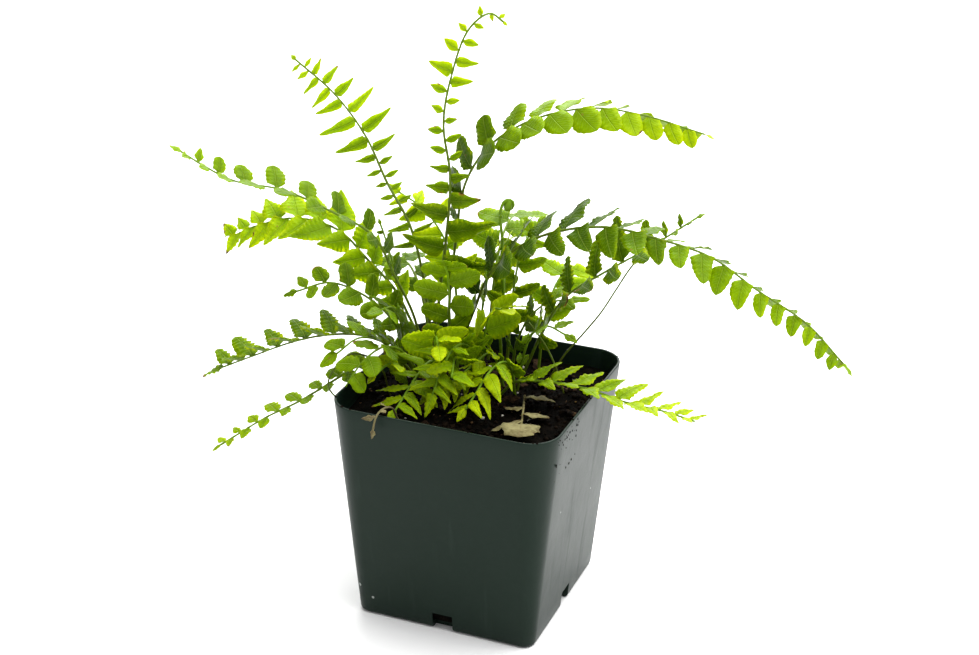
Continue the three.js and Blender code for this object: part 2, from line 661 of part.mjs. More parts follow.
// A leaflet's blade, raised by tip degrees more and shrunk to size.
function leafletAt(frond, leaf, tip, size) {
  const { at, forward, side, face, radius } = frond.rib.frameAt(leaf.s);
  const lift = radians(leaf.lift + tip);
  const lean = radians(leaf.lean);
  const twist = radians(leaf.twist);
  const turn = leaf.side || 1;
  const out = side.clone().multiplyScalar(turn * Math.cos(lift)).addScaledVector(face, Math.sin(lift));
  const up = face.clone().multiplyScalar(Math.cos(lift)).addScaledVector(side, -turn * Math.sin(lift));
  const axis = out.clone().multiplyScalar(Math.cos(lean)).addScaledVector(forward, Math.sin(lean));
  const across = forward.clone().multiplyScalar(Math.cos(lean)).addScaledVector(out, -Math.sin(lean));
  return bladeOf({
    shape: frond.leaves.shape, base: joinOf(frond, leaf), at, radius, axis,
    out: leaf.side ? out : forward.clone(),
    across: across.clone().multiplyScalar(Math.cos(twist)).addScaledVector(up, Math.sin(twist)),
    face: up.clone().multiplyScalar(Math.cos(twist)).addScaledVector(across, -Math.sin(twist)),
    length: leaf.length * size, width: leaf.width * size,
    hook: leaf.hook, sag: leaf.sag, crease: leaf.crease, turn,
  });
}

// Where a rib has sections between two places along it, so that it keeps near its curve.
function sectionsBetween(frameAt, from, to) {
  const middle = (from + to) / 2;
  const chordMiddle = frameAt(from).at.add(frameAt(to).at).multiplyScalar(0.5);
  const off = chordMiddle.distanceTo(frameAt(middle).at);
  if (to - from < rib.step && off < rib.offCurve) return [];
  return [...sectionsBetween(frameAt, from, middle), middle, ...sectionsBetween(frameAt, middle, to)];
}

// A frond as one closed body: the rib's sections, with each leaflet's blade in place of the
// piece of the rib's side that it grows from. Without leaflets it is the bare rib.
function frondMesh(frond, grown) {
  const { length, frameAt } = frond.rib;
  const marks = new Map([[0, []], [length, []]]);
  const leafy = grown.filter(({ leaf }) => leaf.side);
  for (const piece of leafy) {
    marks.set(piece.leaf.s - footHalf(piece.leaf), [piece]);
    marks.set(piece.leaf.s + footHalf(piece.leaf), []);
  }
  const marked = [...marks.keys()].sort((a, b) => a - b);
  const set = marked.flatMap((s, k) => (k ? [...sectionsBetween(frameAt, marked[k - 1], s), s] : [s]));
  const points = [];
  const triangles = [];
  const quad = (a, b, c, d) => triangles.push([a, b, c], [a, c, d]);
  const graft = (piece, joins) => {
    const { points: own, count: n, triangles: faces } = piece.blade;
    const numbers = new Map([0, 1, n, n + 1].map((k, j) => [k, joins[j]]));
    own.forEach((p, k) => numbers.has(k) || numbers.set(k, points.push(p) - 1));
    const placed = faces.map((t) => t.map((k) => numbers.get(k)));
    triangles.push(...placed.filter(([a, b, c]) => a !== b && b !== c && a !== c));
  };
  for (const s of set) points.push(...sectionOf(frameAt(s)));
  set.slice(1).forEach((_, k) => {
    const [a, b] = [3 * k, 3 * k + 3];
    const piece = marks.get(set[k])?.[0];
    const side = piece?.leaf.side ?? 0;
    quad(a, a + 1, b + 1, b);
    if (side >= 0) quad(a + 1, a + 2, b + 2, b + 1);
    if (side <= 0) quad(a + 2, a, b, b + 2);
    if (side > 0) graft(piece, [b, a, b + 2, a + 2]);
    if (side < 0) graft(piece, [b + 1, a + 1, b + 2, a + 2]);
  });
  triangles.push([0, 2, 1]);
  const e = 3 * (set.length - 1);
  const end = grown.find(({ leaf }) => !leaf.side);
  if (end) graft(end, [e + 1, e, e + 2, e + 2]);
  else triangles.push([e, e + 1, e + 2]);
  return solidFrom(points, triangles);
}

// ---------------------------------------------------------------- keeping fronds clear of each other

function boxesNear(a, b, gap) {
  return [0, 1, 2].every((k) => a.min[k] - gap < b.max[k] && b.min[k] - gap < a.max[k]);
}

const withBounds = (solid) => ({ solid, bounds: solid.boundingBox() });

function isClear(piece, others, gap) {
  return others.every(
    (other) => !boxesNear(piece.bounds, other.bounds, gap) || piece.solid.minGap(other.solid, gap) >= gap,
  );
}

// The least bow to one side that takes a rib past those already standing.
function standRib(frond, standing) {
  for (const aside of bows) {
    frond.rib = ribOf(frond, aside);
    const bare = withBounds(frondMesh(frond, []));
    if (isClear(bare, standing, clearance)) return bare;
  }
  throw new Error(`${frond.name} has no way through`);
}

// The first of a leaflet's poses that clears everything round it, or nothing.
function growLeaflet(frond, leaf, grown, others) {
  for (const size of shrinks)
    for (const tip of tips) {
      const shape = leafletAt(frond, leaf, tip, size);
      const piece = { ...withBounds(closedBlade(shape, leaf.side || 1)), blade: shape, leaf };
      if (isClear(piece, grown, ownClearance) && isClear(piece, others, clearance)) return piece;
    }
  return null;
}

// ---------------------------------------------------------------- the model

const group = new THREE.Group();
const add = (name, solid, material) => {
  const mesh = new THREE.Mesh(geometryOf(solid), material);
  mesh.name = name;
  group.add(mesh);
};

const ribs = [];
for (const frond of fronds) ribs.push(standRib(frond, ribs));
const potSolid = makePot();
const soilSolid = makeSoil(fronds);
const leafletsStanding = [];
fronds.forEach((frond, index) => {
  const otherRibs = ribs.filter((_, k) => k !== index);
  const around = [withBounds(potSolid), withBounds(soilSolid), ...otherRibs, ...leafletsStanding];
  const grown = [];
  for (const leaf of leafletsOf(frond, index)) {
    const piece = growLeaflet(frond, leaf, grown, around);
    if (piece) grown.push(piece);
  }
  leafletsStanding.push(...grown);
  add(frond.name, frondMesh(frond, grown), materials[frond.tone]);
});
add("pot", potSolid, materials.plastic);
add("soil", soilSolid, materials.soil);

export default group;
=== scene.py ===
# A young sword fern in a square nursery pot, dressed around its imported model.
# Lengths are in millimetres until a mesh is made, and Blender gets metres.
import math
import random

import bpy
import numpy as np
from mathutils import Matrix, Vector, kdtree, noise


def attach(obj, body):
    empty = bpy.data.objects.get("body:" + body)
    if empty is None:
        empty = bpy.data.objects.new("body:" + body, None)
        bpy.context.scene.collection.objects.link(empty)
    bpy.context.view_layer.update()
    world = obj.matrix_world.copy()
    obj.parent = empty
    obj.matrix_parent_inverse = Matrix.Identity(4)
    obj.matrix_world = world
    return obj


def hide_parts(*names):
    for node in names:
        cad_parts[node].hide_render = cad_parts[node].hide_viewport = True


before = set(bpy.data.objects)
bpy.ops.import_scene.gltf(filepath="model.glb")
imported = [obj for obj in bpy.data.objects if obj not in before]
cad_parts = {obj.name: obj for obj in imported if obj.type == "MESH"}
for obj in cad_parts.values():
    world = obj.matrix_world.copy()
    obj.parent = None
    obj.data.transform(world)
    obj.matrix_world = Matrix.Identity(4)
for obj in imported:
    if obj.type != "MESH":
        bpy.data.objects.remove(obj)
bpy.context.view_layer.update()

mm = 0.001


def linear(red, green, blue):  # a colour as a paint program shows it, 0 to 255, for a shader
    return tuple(c / 12.92 if c <= 0.04045 else ((c + 0.055) / 1.055) ** 2.4
                 for c in (red / 255, green / 255, blue / 255)) + (1.0,)


def smooth(low, high, x):  # 0 below low, 1 above high, soft between
    t = np.clip((x - low) / (high - low), 0, 1)
    return t * t * (3 - 2 * t)


def unit(v):
    return v / np.linalg.norm(v)


def drawsFrom(seed):  # seeded draws between -1 and 1, the same as the solids' source makes
    state = seed

    def draw():
        nonlocal state
        state = (state * 1664525 + 1013904223) & 0xFFFFFFFF
        return state / 4294967296 * 2 - 1
    return draw


def newObject(name, data):
    thing = bpy.data.objects.new(name, data)
    bpy.context.scene.collection.objects.link(thing)
    return thing


def newMesh(name, points, faces, materials=()):  # from points in millimetres
    mesh = bpy.data.meshes.new(name)
    mesh.from_pydata((np.asarray(points) * mm).tolist(), [], faces)
    for material in materials:
        mesh.materials.append(material)
    return mesh


def meshPiece(name, points, faces, materials, replaced=(), masks=None, places=None,
              materialOf=None, flat=False):
    mesh = newMesh(name, points, faces, materials)
    if materialOf is not None:
        mesh.polygons.foreach_set("material_index", materialOf)
    for label, values in (masks or {}).items():
        layer = mesh.attributes.new(label, "FLOAT", "POINT")
        layer.data.foreach_set("value", np.asarray(values, np.float32))
    if places is not None:
        layer = mesh.attributes.new("leafPlace", "FLOAT_VECTOR", "POINT")
        layer.data.foreach_set("vector", np.asarray(places, np.float32).ravel())
    mesh.polygons.foreach_set("use_smooth", [not flat] * len(mesh.polygons))
    mesh.update()
    piece = newObject(name, mesh)
    if replaced:
        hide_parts(*replaced)
    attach(piece, "root")
    return piece


def gather(points, faces, morePoints, moreFaces):  # adds one closed shape to a growing mesh
    start = len(points)
    points += np.asarray(morePoints).tolist()
    faces += [tuple(start + i for i in face) for face in moreFaces]


def loftFaces(rings, count):  # quads between rings of count points, and a cap at each end
    sides = [(r * count + i, r * count + (i + 1) % count, (r + 1) * count + (i + 1) % count,
              (r + 1) * count + i) for r in range(rings - 1) for i in range(count)]
    return sides + [tuple(range(count - 1, -1, -1)),
                    tuple((rings - 1) * count + i for i in range(count))]


boxFaces = ((3, 2, 1, 0), (4, 5, 6, 7), (0, 1, 5, 4), (1, 2, 6, 5), (2, 3, 7, 6), (3, 0, 4, 7))


def boxPoints(width, depth, low, high, y=0.0):  # corners round the axis or set off along y
    return np.array([(i * width / 2, y + j * depth / 2, z)
                     for z in (low, high) for i, j in ((-1, -1), (1, -1), (1, 1), (-1, 1))])


class nodeTools:  # short ways to add shader nodes to one tree
    def __init__(self, tree):
        self.tree = tree

    def put(self, socket, value):
        if isinstance(value, bpy.types.NodeSocket):
            self.tree.links.new(value, socket)
        else:
            socket.default_value = value

    def add(self, kind, inputs, **settings):  # inputs by number or by name
        node = self.tree.nodes.new("ShaderNode" + kind)
        for label, value in settings.items():
            setattr(node, label, value)
        for label, value in inputs.items():
            self.put(node.inputs[label], value)
        return node

    def calc(self, operation, a, b=0.5, clamp=False):
        return self.add("Math", {0: a, 1: b}, operation=operation, use_clamp=clamp).outputs[0]

    def plus(self, a, b, clamp=False):
        return self.calc("ADD", a, b, clamp)

    def minus(self, a, b, clamp=False):
        return self.calc("SUBTRACT", a, b, clamp)

    def times(self, a, b):
        return self.calc("MULTIPLY", a, b)

    def weigh(self, first, *others):  # the sum of values, each with its weight
        total = self.times(*first)
        for pair in others:
            total = self.plus(total, self.times(*pair))
        return total

    def sway(self, value, amount):  # a value round 0.5 as a push up or down
        return self.times(self.minus(value, 0.5), amount)

    def ramp(self, value, low, high):  # 0 at low to 1 at high
        return self.add("MapRange", {0: value, 1: low, 2: high, 3: 0.0, 4: 1.0},
                        interpolation_type="SMOOTHSTEP").outputs[0]

    def noise(self, vector, scale, detail, roughness=0.55):
        return self.add("TexNoise", {"Vector": vector, "Scale": scale, "Detail": detail,
                                     "Roughness": roughness}).outputs[0]

    def mix(self, factor, a, b):
        return self.add("Mix", {0: factor, 6: a, 7: b}, data_type="RGBA").outputs[2]

    def attribute(self, name, output="Fac"):
        return self.add("Attribute", {}, attribute_name=name).outputs[output]

    def place(self):  # where a point is on the object, in metres
        return self.add("TexCoord", {}).outputs["Object"]

    def use(self, group, **values):
        return self.add("Group", values, node_tree=group).outputs

    def bump(self, shader, height, f):
        node = self.add("Bump", {"Strength": f["reliefStrength"], "Distance": f["reliefDepth"],
                                 "Height": height})
        self.put(shader.inputs["Normal"], node.outputs[0])


def newGroup(name, inputs, outputs):  # a shader group, its tools and its two ends
    group = bpy.data.node_groups.new(name, "ShaderNodeTree")
    for label, kind, value in inputs:
        socket = group.interface.new_socket(label, in_out="INPUT", socket_type=kind)
        if value is not None:
            socket.default_value = value
    for label in outputs:
        group.interface.new_socket(label, in_out="OUTPUT", socket_type="NodeSocketFloat")
    return (group, nodeTools(group), group.nodes.new("NodeGroupInput").outputs,
            group.nodes.new("NodeGroupOutput").inputs)


def makeSpecks():  # scattered small grains, as a mask
    group, n, given, result = newGroup("specks", [
        ("Place", "NodeSocketVector", None), ("Scale", "NodeSocketFloat", 400.0),
        ("Size", "NodeSocketFloat", 0.16), ("Share", "NodeSocketFloat", 0.2)], ["Mask"])
    cells = n.add("TexVoronoi", {"Vector": given["Place"], "Scale": given["Scale"]}).outputs
    drawn = n.add("SeparateColor", {0: cells["Color"]}).outputs
    near = n.calc("LESS_THAN", cells["Distance"], n.times(given["Size"], drawn[1]))
    chosen = n.calc("LESS_THAN", drawn[0], given["Share"])
    n.put(result["Mask"], n.times(near, chosen))
    return group


mottleForm = {"broadShare": 0.7, "fineShare": 0.3, "broadDetail": 3.0, "fineDetail": 2.0}


def makeMottle():  # soft uneven patches at two sizes, as a value round 0.5
    m = mottleForm
    group, n, given, result = newGroup("mottle", [
        ("Place", "NodeSocketVector", None), ("Scale", "NodeSocketFloat", 60.0),
        ("Fine", "NodeSocketFloat", 6.0)], ["Value"])
    broad = n.noise(given["Place"], given["Scale"], m["broadDetail"])
    fine = n.noise(given["Place"], n.times(given["Scale"], given["Fine"]), m["fineDetail"])
    n.put(result["Value"], n.weigh((broad, m["broadShare"]), (fine, m["fineShare"])))
    return group


veinForm = {"midribFull": 0.05, "wanderScale": 0.6, "wanderDetail": 2.0, "wander": 1.2}


def makeVeins():  # a leaflet's midrib and side veins, from its place along and across in mm
    v = veinForm
    group, n, given, result = newGroup("leafletVeins", [
        ("Place", "NodeSocketVector", None), ("Spacing", "NodeSocketFloat", 1.5),
        ("Slant", "NodeSocketFloat", 0.9), ("Width", "NodeSocketFloat", 0.3)], ["Midrib", "Veins"])
    split = n.add("SeparateXYZ", {0: given["Place"]}).outputs
    along, across = split[0], n.calc("ABSOLUTE", split[1])
    n.put(result["Midrib"], n.ramp(across, given["Width"], v["midribFull"]))
    wander = n.times(n.noise(given["Place"], v["wanderScale"], v["wanderDetail"]), v["wander"])
    slanted = n.minus(n.plus(along, wander), n.times(across, given["Slant"]))
    phase = n.calc("FRACT", n.calc("DIVIDE", slanted, given["Spacing"]))
    ridge = n.times(n.calc("ABSOLUTE", n.minus(phase, 0.5)), 2.0)
    n.put(result["Veins"], n.ramp(ridge, n.minus(1.0, given["Width"]), 1.0))
    return group


specks, mottle, veins = makeSpecks(), makeMottle(), makeVeins()
shaderInputs = {
    "roughness": "Roughness", "specular": "Specular IOR Level", "tint": "Specular Tint",
    "glow": "Subsurface Weight", "glowReach": "Subsurface Radius", "glowScale": "Subsurface Scale",
}


def newMaterial(name, f):  # a material with its nodes and its shader, by its finish f
    material = bpy.data.materials.new(name)
    material.use_nodes = True
    shader = material.node_tree.nodes["Principled BSDF"]
    for label, socket in shaderInputs.items():
        if label in f:
            shader.inputs[socket].default_value = f[label]
    return material, nodeTools(material.node_tree), shader


def patchesOf(n, f):
    return n.use(mottle, Place=n.place(), Scale=f["patchSize"], Fine=f["patchFine"])["Value"]


def speckled(n, f, label, colour):  # the colour with flecks, spots, dust or grains on it
    mask = n.use(specks, Place=n.place(), Scale=f[label + "Scale"], Size=f[label + "Size"],
                 Share=f[label + "Share"])["Mask"]
    return n.mix(n.times(mask, f[label + "Colour"]), colour, f[label])


def veined(n, f, colour):  # the colour with a leaflet's midrib and veins, and where they lie
    lines = n.use(veins, Place=n.attribute("leafPlace", "Vector"), Spacing=f["veinSpacing"],
                  Slant=f["veinSlant"], Width=f["veinWidth"])
    colour = n.mix(n.times(lines["Midrib"], f["midribColour"]), colour, f["vein"])
    return n.mix(n.times(lines["Veins"], f["veinColour"]), colour, f["vein"]), lines


leafFinish = {
    # the deep, mid, bright and pale greens are partly the leaves' own colour and partly painted
    # light: pale for the glow where light shines through a thin blade, deep for the shade on blades
    # lit from behind
    "deep": linear(44, 70, 3), "mid": linear(74, 102, 0), "bright": linear(110, 140, 0),
    "pale": linear(156, 176, 0), "under": linear(98, 126, 4), "vein": linear(148, 170, 50),
    "burnt": linear(34, 24, 14), "browned": linear(120, 84, 40), "freckle": linear(120, 84, 40),
    "specular": 0.05,
    "tones": ((0.0, 0.34, "mid"), (0.34, 0.67, "bright"), (0.67, 1.0, "pale")),
    "patchSize": 90.0, "patchFine": 7.0, "patchTone": 0.5, "underShare": 0.3,
    "veinSpacing": 1.45, "veinSlant": 0.85, "veinWidth": 0.32,
    "midribColour": 0.3, "veinColour": 0.08,
    "brownFrom": 0.25, "brownTo": 0.5, "burnFrom": 0.5, "burnTo": 0.78, "ragged": 1.1,
    "freckleSize": 0.34, "freckleScale": 520.0, "freckleShare": 0.05, "freckleColour": 0.55,
    "dullFrom": 0.3, "dullTo": 0.6, "dullRoughness": 0.35,
    "midribRelief": -1.0, "veinRelief": -0.3, "patchRelief": 1.6,
    "reliefDepth": 0.00032, "reliefStrength": 0.9,
    "glowReach": (0.9, 1.0, 0.12), "glowScale": 0.0012,
}
leafKinds = {
    "bright": {"roughness": 0.42, "glow": 0.5}, "mid": {"roughness": 0.38, "glow": 0.42},
    "deep": {"roughness": 0.36, "glow": 0.3}, "pale": {"roughness": 0.46, "glow": 0.6},
}


def makeLeafMaterial(kind):
    f = {**leafFinish, **leafKinds[kind]}
    material, n, shader = newMaterial("leaf" + kind.capitalize(), f)
    shader.subsurface_method = "RANDOM_WALK"
    patches = patchesOf(n, f)
    # the leaflet's tone picks its green from deep to pale, partly its own colour and partly painted
    # glow and shade
    tone = n.plus(n.attribute("leafTone"), n.sway(patches, f["patchTone"]), clamp=True)
    colour = f["deep"]
    for low, high, label in f["tones"]:
        share = n.calc("DIVIDE", n.minus(tone, low), high - low, clamp=True)
        colour = n.mix(share, colour, f[label])
    colour = n.mix(n.times(n.attribute("leafUnder"), f["underShare"]), colour, f["under"])
    colour, lines = veined(n, f, colour)
    harm = n.plus(n.attribute("leafHarm"), n.sway(patches, f["ragged"]))
    colour = n.mix(n.ramp(harm, f["brownFrom"], f["brownTo"]), colour, f["browned"])
    colour = n.mix(n.ramp(harm, f["burnFrom"], f["burnTo"]), colour, f["burnt"])
    n.put(shader.inputs["Base Color"], speckled(n, f, "freckle", colour))
    dull = n.times(n.ramp(harm, f["dullFrom"], f["dullTo"]), f["dullRoughness"])
    n.put(shader.inputs["Roughness"], n.plus(f["roughness"], dull))
    relief = n.weigh((lines["Midrib"], f["midribRelief"]), (lines["Veins"], f["veinRelief"]),
                     (patches, f["patchRelief"]))
    n.bump(shader, relief, f)
    return material


leafMaterials = {kind: makeLeafMaterial(kind) for kind in leafKinds}

stemFinish = {
    "old": linear(58, 46, 16), "young": linear(104, 140, 16), "fleck": linear(58, 40, 22),
    "roughness": 0.5, "specular": 0.18, "patchSize": 160.0, "patchFine": 5.0, "patchTone": 0.7,
    "fleckScale": 900.0, "fleckSize": 0.4, "fleckShare": 0.2, "fleckColour": 0.6,
    "reliefDepth": 0.0002, "reliefStrength": 0.6,
}


def makeStemMaterial():
    f = stemFinish
    material, n, shader = newMaterial("frondStem", f)
    patches = patchesOf(n, f)
    age = n.plus(n.attribute("leafTone"), n.sway(patches, f["patchTone"]), clamp=True)
    colour = n.mix(age, f["old"], f["young"])
    n.put(shader.inputs["Base Color"], speckled(n, f, "fleck", colour))
    n.bump(shader, patches, f)
    return material


dryFinish = {
    "dark": linear(96, 88, 52), "light": linear(152, 146, 98), "vein": linear(120, 100, 66),
    "spot": linear(84, 62, 38), "tip": linear(70, 54, 34), "shade": linear(66, 56, 40),
    "roughness": 0.8, "specular": 0.2,
    "glow": 0.2, "glowReach": (1.0, 0.8, 0.5), "glowScale": 0.001,
    "patchSize": 110.0, "patchFine": 6.0, "darkTo": 0.38, "lightFrom": 0.62,
    "veinSpacing": 1.7, "veinSlant": 0.8, "veinWidth": 0.3, "midribColour": 0.5, "veinColour": 0.2,
    "spotScale": 480.0, "spotSize": 0.45, "spotShare": 0.16, "spotColour": 0.6,
    "veinRelief": -0.4, "reliefDepth": 0.0004, "reliefStrength": 0.8,
}


def makeDryMaterial():
    f = dryFinish
    material, n, shader = newMaterial("dryLeaf", f)
    patches = patchesOf(n, f)
    colour = n.mix(n.ramp(patches, f["darkTo"], f["lightFrom"]), f["dark"], f["light"])
    colour, lines = veined(n, f, colour)
    colour = speckled(n, f, "spot", colour)
    colour = n.mix(n.attribute("leafHarm"), colour, f["tip"])
    colour = n.mix(n.minus(1.0, n.attribute("leafTone"), clamp=True), colour, f["shade"])
    n.put(shader.inputs["Base Color"], colour)
    n.bump(shader, n.plus(patches, n.times(lines["Veins"], f["veinRelief"])), f)
    return material


plasticFinish = {
    "dark": linear(18, 31, 24), "light": linear(25, 38, 31), "dust": linear(190, 196, 190),
    "scuff": linear(80, 92, 86), "tint": (0.92, 1.0, 0.94, 1.0), "specular": 0.11,
    "patchSize": 22.0, "patchFine": 9.0, "dustScale": 150.0, "dustSize": 0.16, "dustShare": 0.05,
    "dustColour": 0.5, "streakStretch": (1.0, 1.0, 0.07), "streakScale": 150.0,
    "streakFrom": 0.6, "streakTo": 0.85, "streakColour": 0.1, "streakDullFrom": 0.5,
    "streakDullTo": 0.8, "streakDull": 0.12, "streakDetail": 3.0,
    "roughness": 0.36, "smoothest": 0.28, "patchDull": 0.16, "fineScale": 1800.0, "fineDetail": 2.0,
    "patchRelief": 1.6, "fineRelief": 0.16, "streakRelief": 0.12,
    "reliefDepth": 0.0003, "reliefStrength": 0.45,
}


def makePlasticMaterial():
    f = plasticFinish
    material, n, shader = newMaterial("potPlastic", f)
    patches = patchesOf(n, f)
    colour = speckled(n, f, "dust", n.mix(patches, f["dark"], f["light"]))
    upright = n.add("VectorMath", {0: n.place(), 1: f["streakStretch"]}, operation="MULTIPLY")
    streaks = n.noise(upright.outputs[0], f["streakScale"], f["streakDetail"])
    scuffs = n.times(n.ramp(streaks, f["streakFrom"], f["streakTo"]), f["streakColour"])
    n.put(shader.inputs["Base Color"], n.mix(scuffs, colour, f["scuff"]))
    rough = n.plus(f["smoothest"], n.times(patches, f["patchDull"]))
    dull = n.times(n.ramp(streaks, f["streakDullFrom"], f["streakDullTo"]), f["streakDull"])
    n.put(shader.inputs["Roughness"], n.plus(rough, dull))
    fine = n.noise(n.place(), f["fineScale"], f["fineDetail"])
    relief = n.weigh((patches, f["patchRelief"]), (fine, f["fineRelief"]),
                     (streaks, f["streakRelief"]))
    n.bump(shader, relief, f)
    return material


soilFinish = {
    "specular": 0.03, "patchSize": 260.0, "patchFine": 6.0, "darkTo": 0.36, "lightFrom": 0.66,
    "grain": linear(118, 92, 64), "grainScale": 700.0, "grainSize": 0.5, "grainColour": 0.7,
    "fineScale": 1500.0, "fineDetail": 4.0, "fineRoughness": 0.7, "fineRelief": 0.5,
    "reliefDepth": 0.0012, "reliefStrength": 0.9,
}
soilKinds = {
    "pottingMix": {"dark": linear(3, 3, 2), "light": linear(17, 13, 9), "grainShare": 0.04,
                   "roughness": 0.9},
    "soilCrumbs": {"dark": linear(5, 4, 3), "light": linear(30, 22, 15), "grainShare": 0.05,
                   "roughness": 0.9},
    "barkChips": {"dark": linear(14, 10, 7), "light": linear(70, 52, 36), "grainShare": 0.1,
                  "roughness": 0.8},
    "whiteGrains": {"dark": linear(196, 190, 176), "light": linear(232, 228, 216),
                    "grainShare": 0.08, "roughness": 0.85},
}


def makeSoilMaterial(kind):
    f = {**soilFinish, **soilKinds[kind]}
    material, n, shader = newMaterial(kind, f)
    patches = patchesOf(n, f)
    colour = n.mix(n.ramp(patches, f["darkTo"], f["lightFrom"]), f["dark"], f["light"])
    n.put(shader.inputs["Base Color"], speckled(n, f, "grain", colour))
    fine = n.noise(n.place(), f["fineScale"], f["fineDetail"], f["fineRoughness"])
    n.bump(shader, n.plus(patches, n.times(fine, f["fineRelief"])), f)
    return material


stemMaterial = makeStemMaterial()
dryMaterial = makeDryMaterial()
plasticMaterial = makePlasticMaterial()
soilMaterials = {kind: makeSoilMaterial(kind) for kind in soilKinds}
print("materials made")

potShape = {
    "topWidth": 102.0, "bottomWidth": 83.0, "height": 104.0, "wall": 1.2,
    "topCorner": 14.0, "bottomCorner": 5.5, "leastCorner": 1.0, "cornerSteps": 14, "sideSteps": 10,
    "floor": 3.4, "recess": 1.2, "footRing": 6.0, "centrePad": 24.0,
    "slotWidth": 9.5, "slotHeight": 8.0, "slotDepth": 8.0, "cutOver": 1.0,
    "rimRound": 0.45, "footRound": 1.6, "roundAngles": (0, 30, 60, 90),
    "plainFrom": 8.0, "plainBelowRim": 6.0, "outsideRings": 12, "insideRings": 8, "sharpAngle": 40,
}
potCorners = (  # each corner's side in x and y, where its arc starts, the way of the side after it
    (1, -1, -90, (0, 1)), (1, 1, 0, (-1, 0)), (-1, 1, 90, (0, -1)), (-1, -1, 180, (1, 0)),
)


def squareRing(z, inset):  # the pot's outline at height z, drawn in by inset
    s = potShape
    t = z / s["height"]
    half = (s["bottomWidth"] + (s["topWidth"] - s["bottomWidth"]) * t) / 2
    corner = s["bottomCorner"] + (s["topCorner"] - s["bottomCorner"]) * t
    radius = max(corner - inset, s["leastCorner"])
    centre = half - inset - radius
    ring = []
    for sx, sy, start, ahead in potCorners:
        for i in range(s["cornerSteps"] + 1):
            a = math.radians(start + 90 * i / s["cornerSteps"])
            ring.append((sx * centre + radius * math.cos(a), sy * centre + radius * math.sin(a), z))
        x, y, _ = ring[-1]
        for k in range(1, s["sideSteps"]):
            way = 2 * centre * k / s["sideSteps"]
            ring.append((x + ahead[0] * way, y + ahead[1] * way, z))
    return ring


def potProfile():  # height and inset, from the underside up the outside and down the inside
    s = potShape
    top, rim, foot, wall = s["height"], s["rimRound"], s["footRound"], s["wall"]
    arcs = [math.radians(a) for a in s["roundAngles"]]
    high = top - s["plainBelowRim"]
    return [*[(foot - foot * math.cos(a), foot - foot * math.sin(a)) for a in arcs],
            *[(z, 0.0) for z in np.linspace(s["plainFrom"], high, s["outsideRings"])],
            *[(top - rim + rim * math.sin(a), rim - rim * math.cos(a)) for a in arcs],
            *[(top - rim + rim * math.cos(a), wall - rim + rim * math.sin(a)) for a in arcs],
            *[(z, wall) for z in np.linspace(high, s["floor"], s["insideRings"])]]


def makeCutter():  # the four drain slots, and the hollow under the pot between foot ring and pad
    s = potShape
    points, faces = [], []
    for turn in range(4):
        a = math.radians(90 * turn)
        slot = boxPoints(s["slotWidth"], s["slotDepth"], -s["cutOver"], s["slotHeight"],
                         -s["bottomWidth"] / 2)
        turned = [(x * math.cos(a) - y * math.sin(a), x * math.sin(a) + y * math.cos(a), z)
                  for x, y, z in slot]
        gather(points, faces, turned, boxFaces)
    outer = np.array(squareRing(0, s["footRing"]))
    pad = outer * (s["centrePad"] / 2 / abs(outer[:, :2]).max(axis=1))[:, None]
    count = len(outer)
    low, high = (0, 0, -s["cutOver"]), (0, 0, s["recess"])
    gather(points, faces, np.vstack([outer + low, outer + high, pad + high, pad + low]),
           [(r * count + k, r * count + (k + 1) % count, (r + 1) % 4 * count + (k + 1) % count,
             (r + 1) % 4 * count + k) for r in range(4) for k in range(count)])
    return newObject("slotCutter", newMesh("slotCutter", points, faces))


def makePot():
    rings = [squareRing(z, inset) for z, inset in potProfile()]
    points = [p for ring in rings for p in ring]
    body = meshPiece("pot_shell", points, loftFaces(len(rings), len(rings[0])), [plasticMaterial],
                     ("pot",))
    cutter = makeCutter()
    cut = body.modifiers.new("slots", "BOOLEAN")
    cut.operation, cut.solver, cut.object = "DIFFERENCE", "EXACT", cutter
    bpy.context.view_layer.update()
    graph = bpy.context.evaluated_depsgraph_get()
    cutMesh = bpy.data.meshes.new_from_object(body.evaluated_get(graph))
    body.modifiers.remove(cut)
    body.data = cutMesh
    bpy.data.objects.remove(cutter)
    cutMesh.polygons.foreach_set("use_smooth", [True] * len(cutMesh.polygons))
    cutMesh.set_sharp_from_angle(angle=math.radians(potShape["sharpAngle"]))
    cutMesh.update()


makePot()
print("pot made")

soilShape = {
    "belowRim": 8.0, "gap": 0.3, "bump": 1.2, "stemDepth": 9.0, "stemStraight": 4.0,
    "waves": ((0.21, 0.13, 0.0), (-0.29, 0.17, 2.0), (0.11, 0.37, 4.0)),
    "rings": 34, "roughness": 0.9, "grain": 0.16, "grainLayer": 3.0, "rimGap": 0.2,
    "sideRings": 14, "aboveFloor": 0.3, "sideBelowTop": 3.0, "sideGrain": 0.2, "sidePull": 0.009,
    "grainFractal": (0.8, 2.1, 4), "sideFractal": (0.8, 2.0, 3),
}
soilTop = potShape["height"] - soilShape["belowRim"]


def lump(x, y):
    waves = sum(math.sin(a * x + b * y + c) for a, b, c in soilShape["waves"])
    return soilShape["bump"] * waves / 3


def soilHeight(x, y):  # the lumpy surface with its crumbly grain
    at = Vector((x * soilShape["grain"], y * soilShape["grain"], soilShape["grainLayer"]))
    grain = noise.fractal(at, *soilShape["grainFractal"])
    return soilTop - soilShape["bump"] + lump(x, y) + soilShape["roughness"] * grain


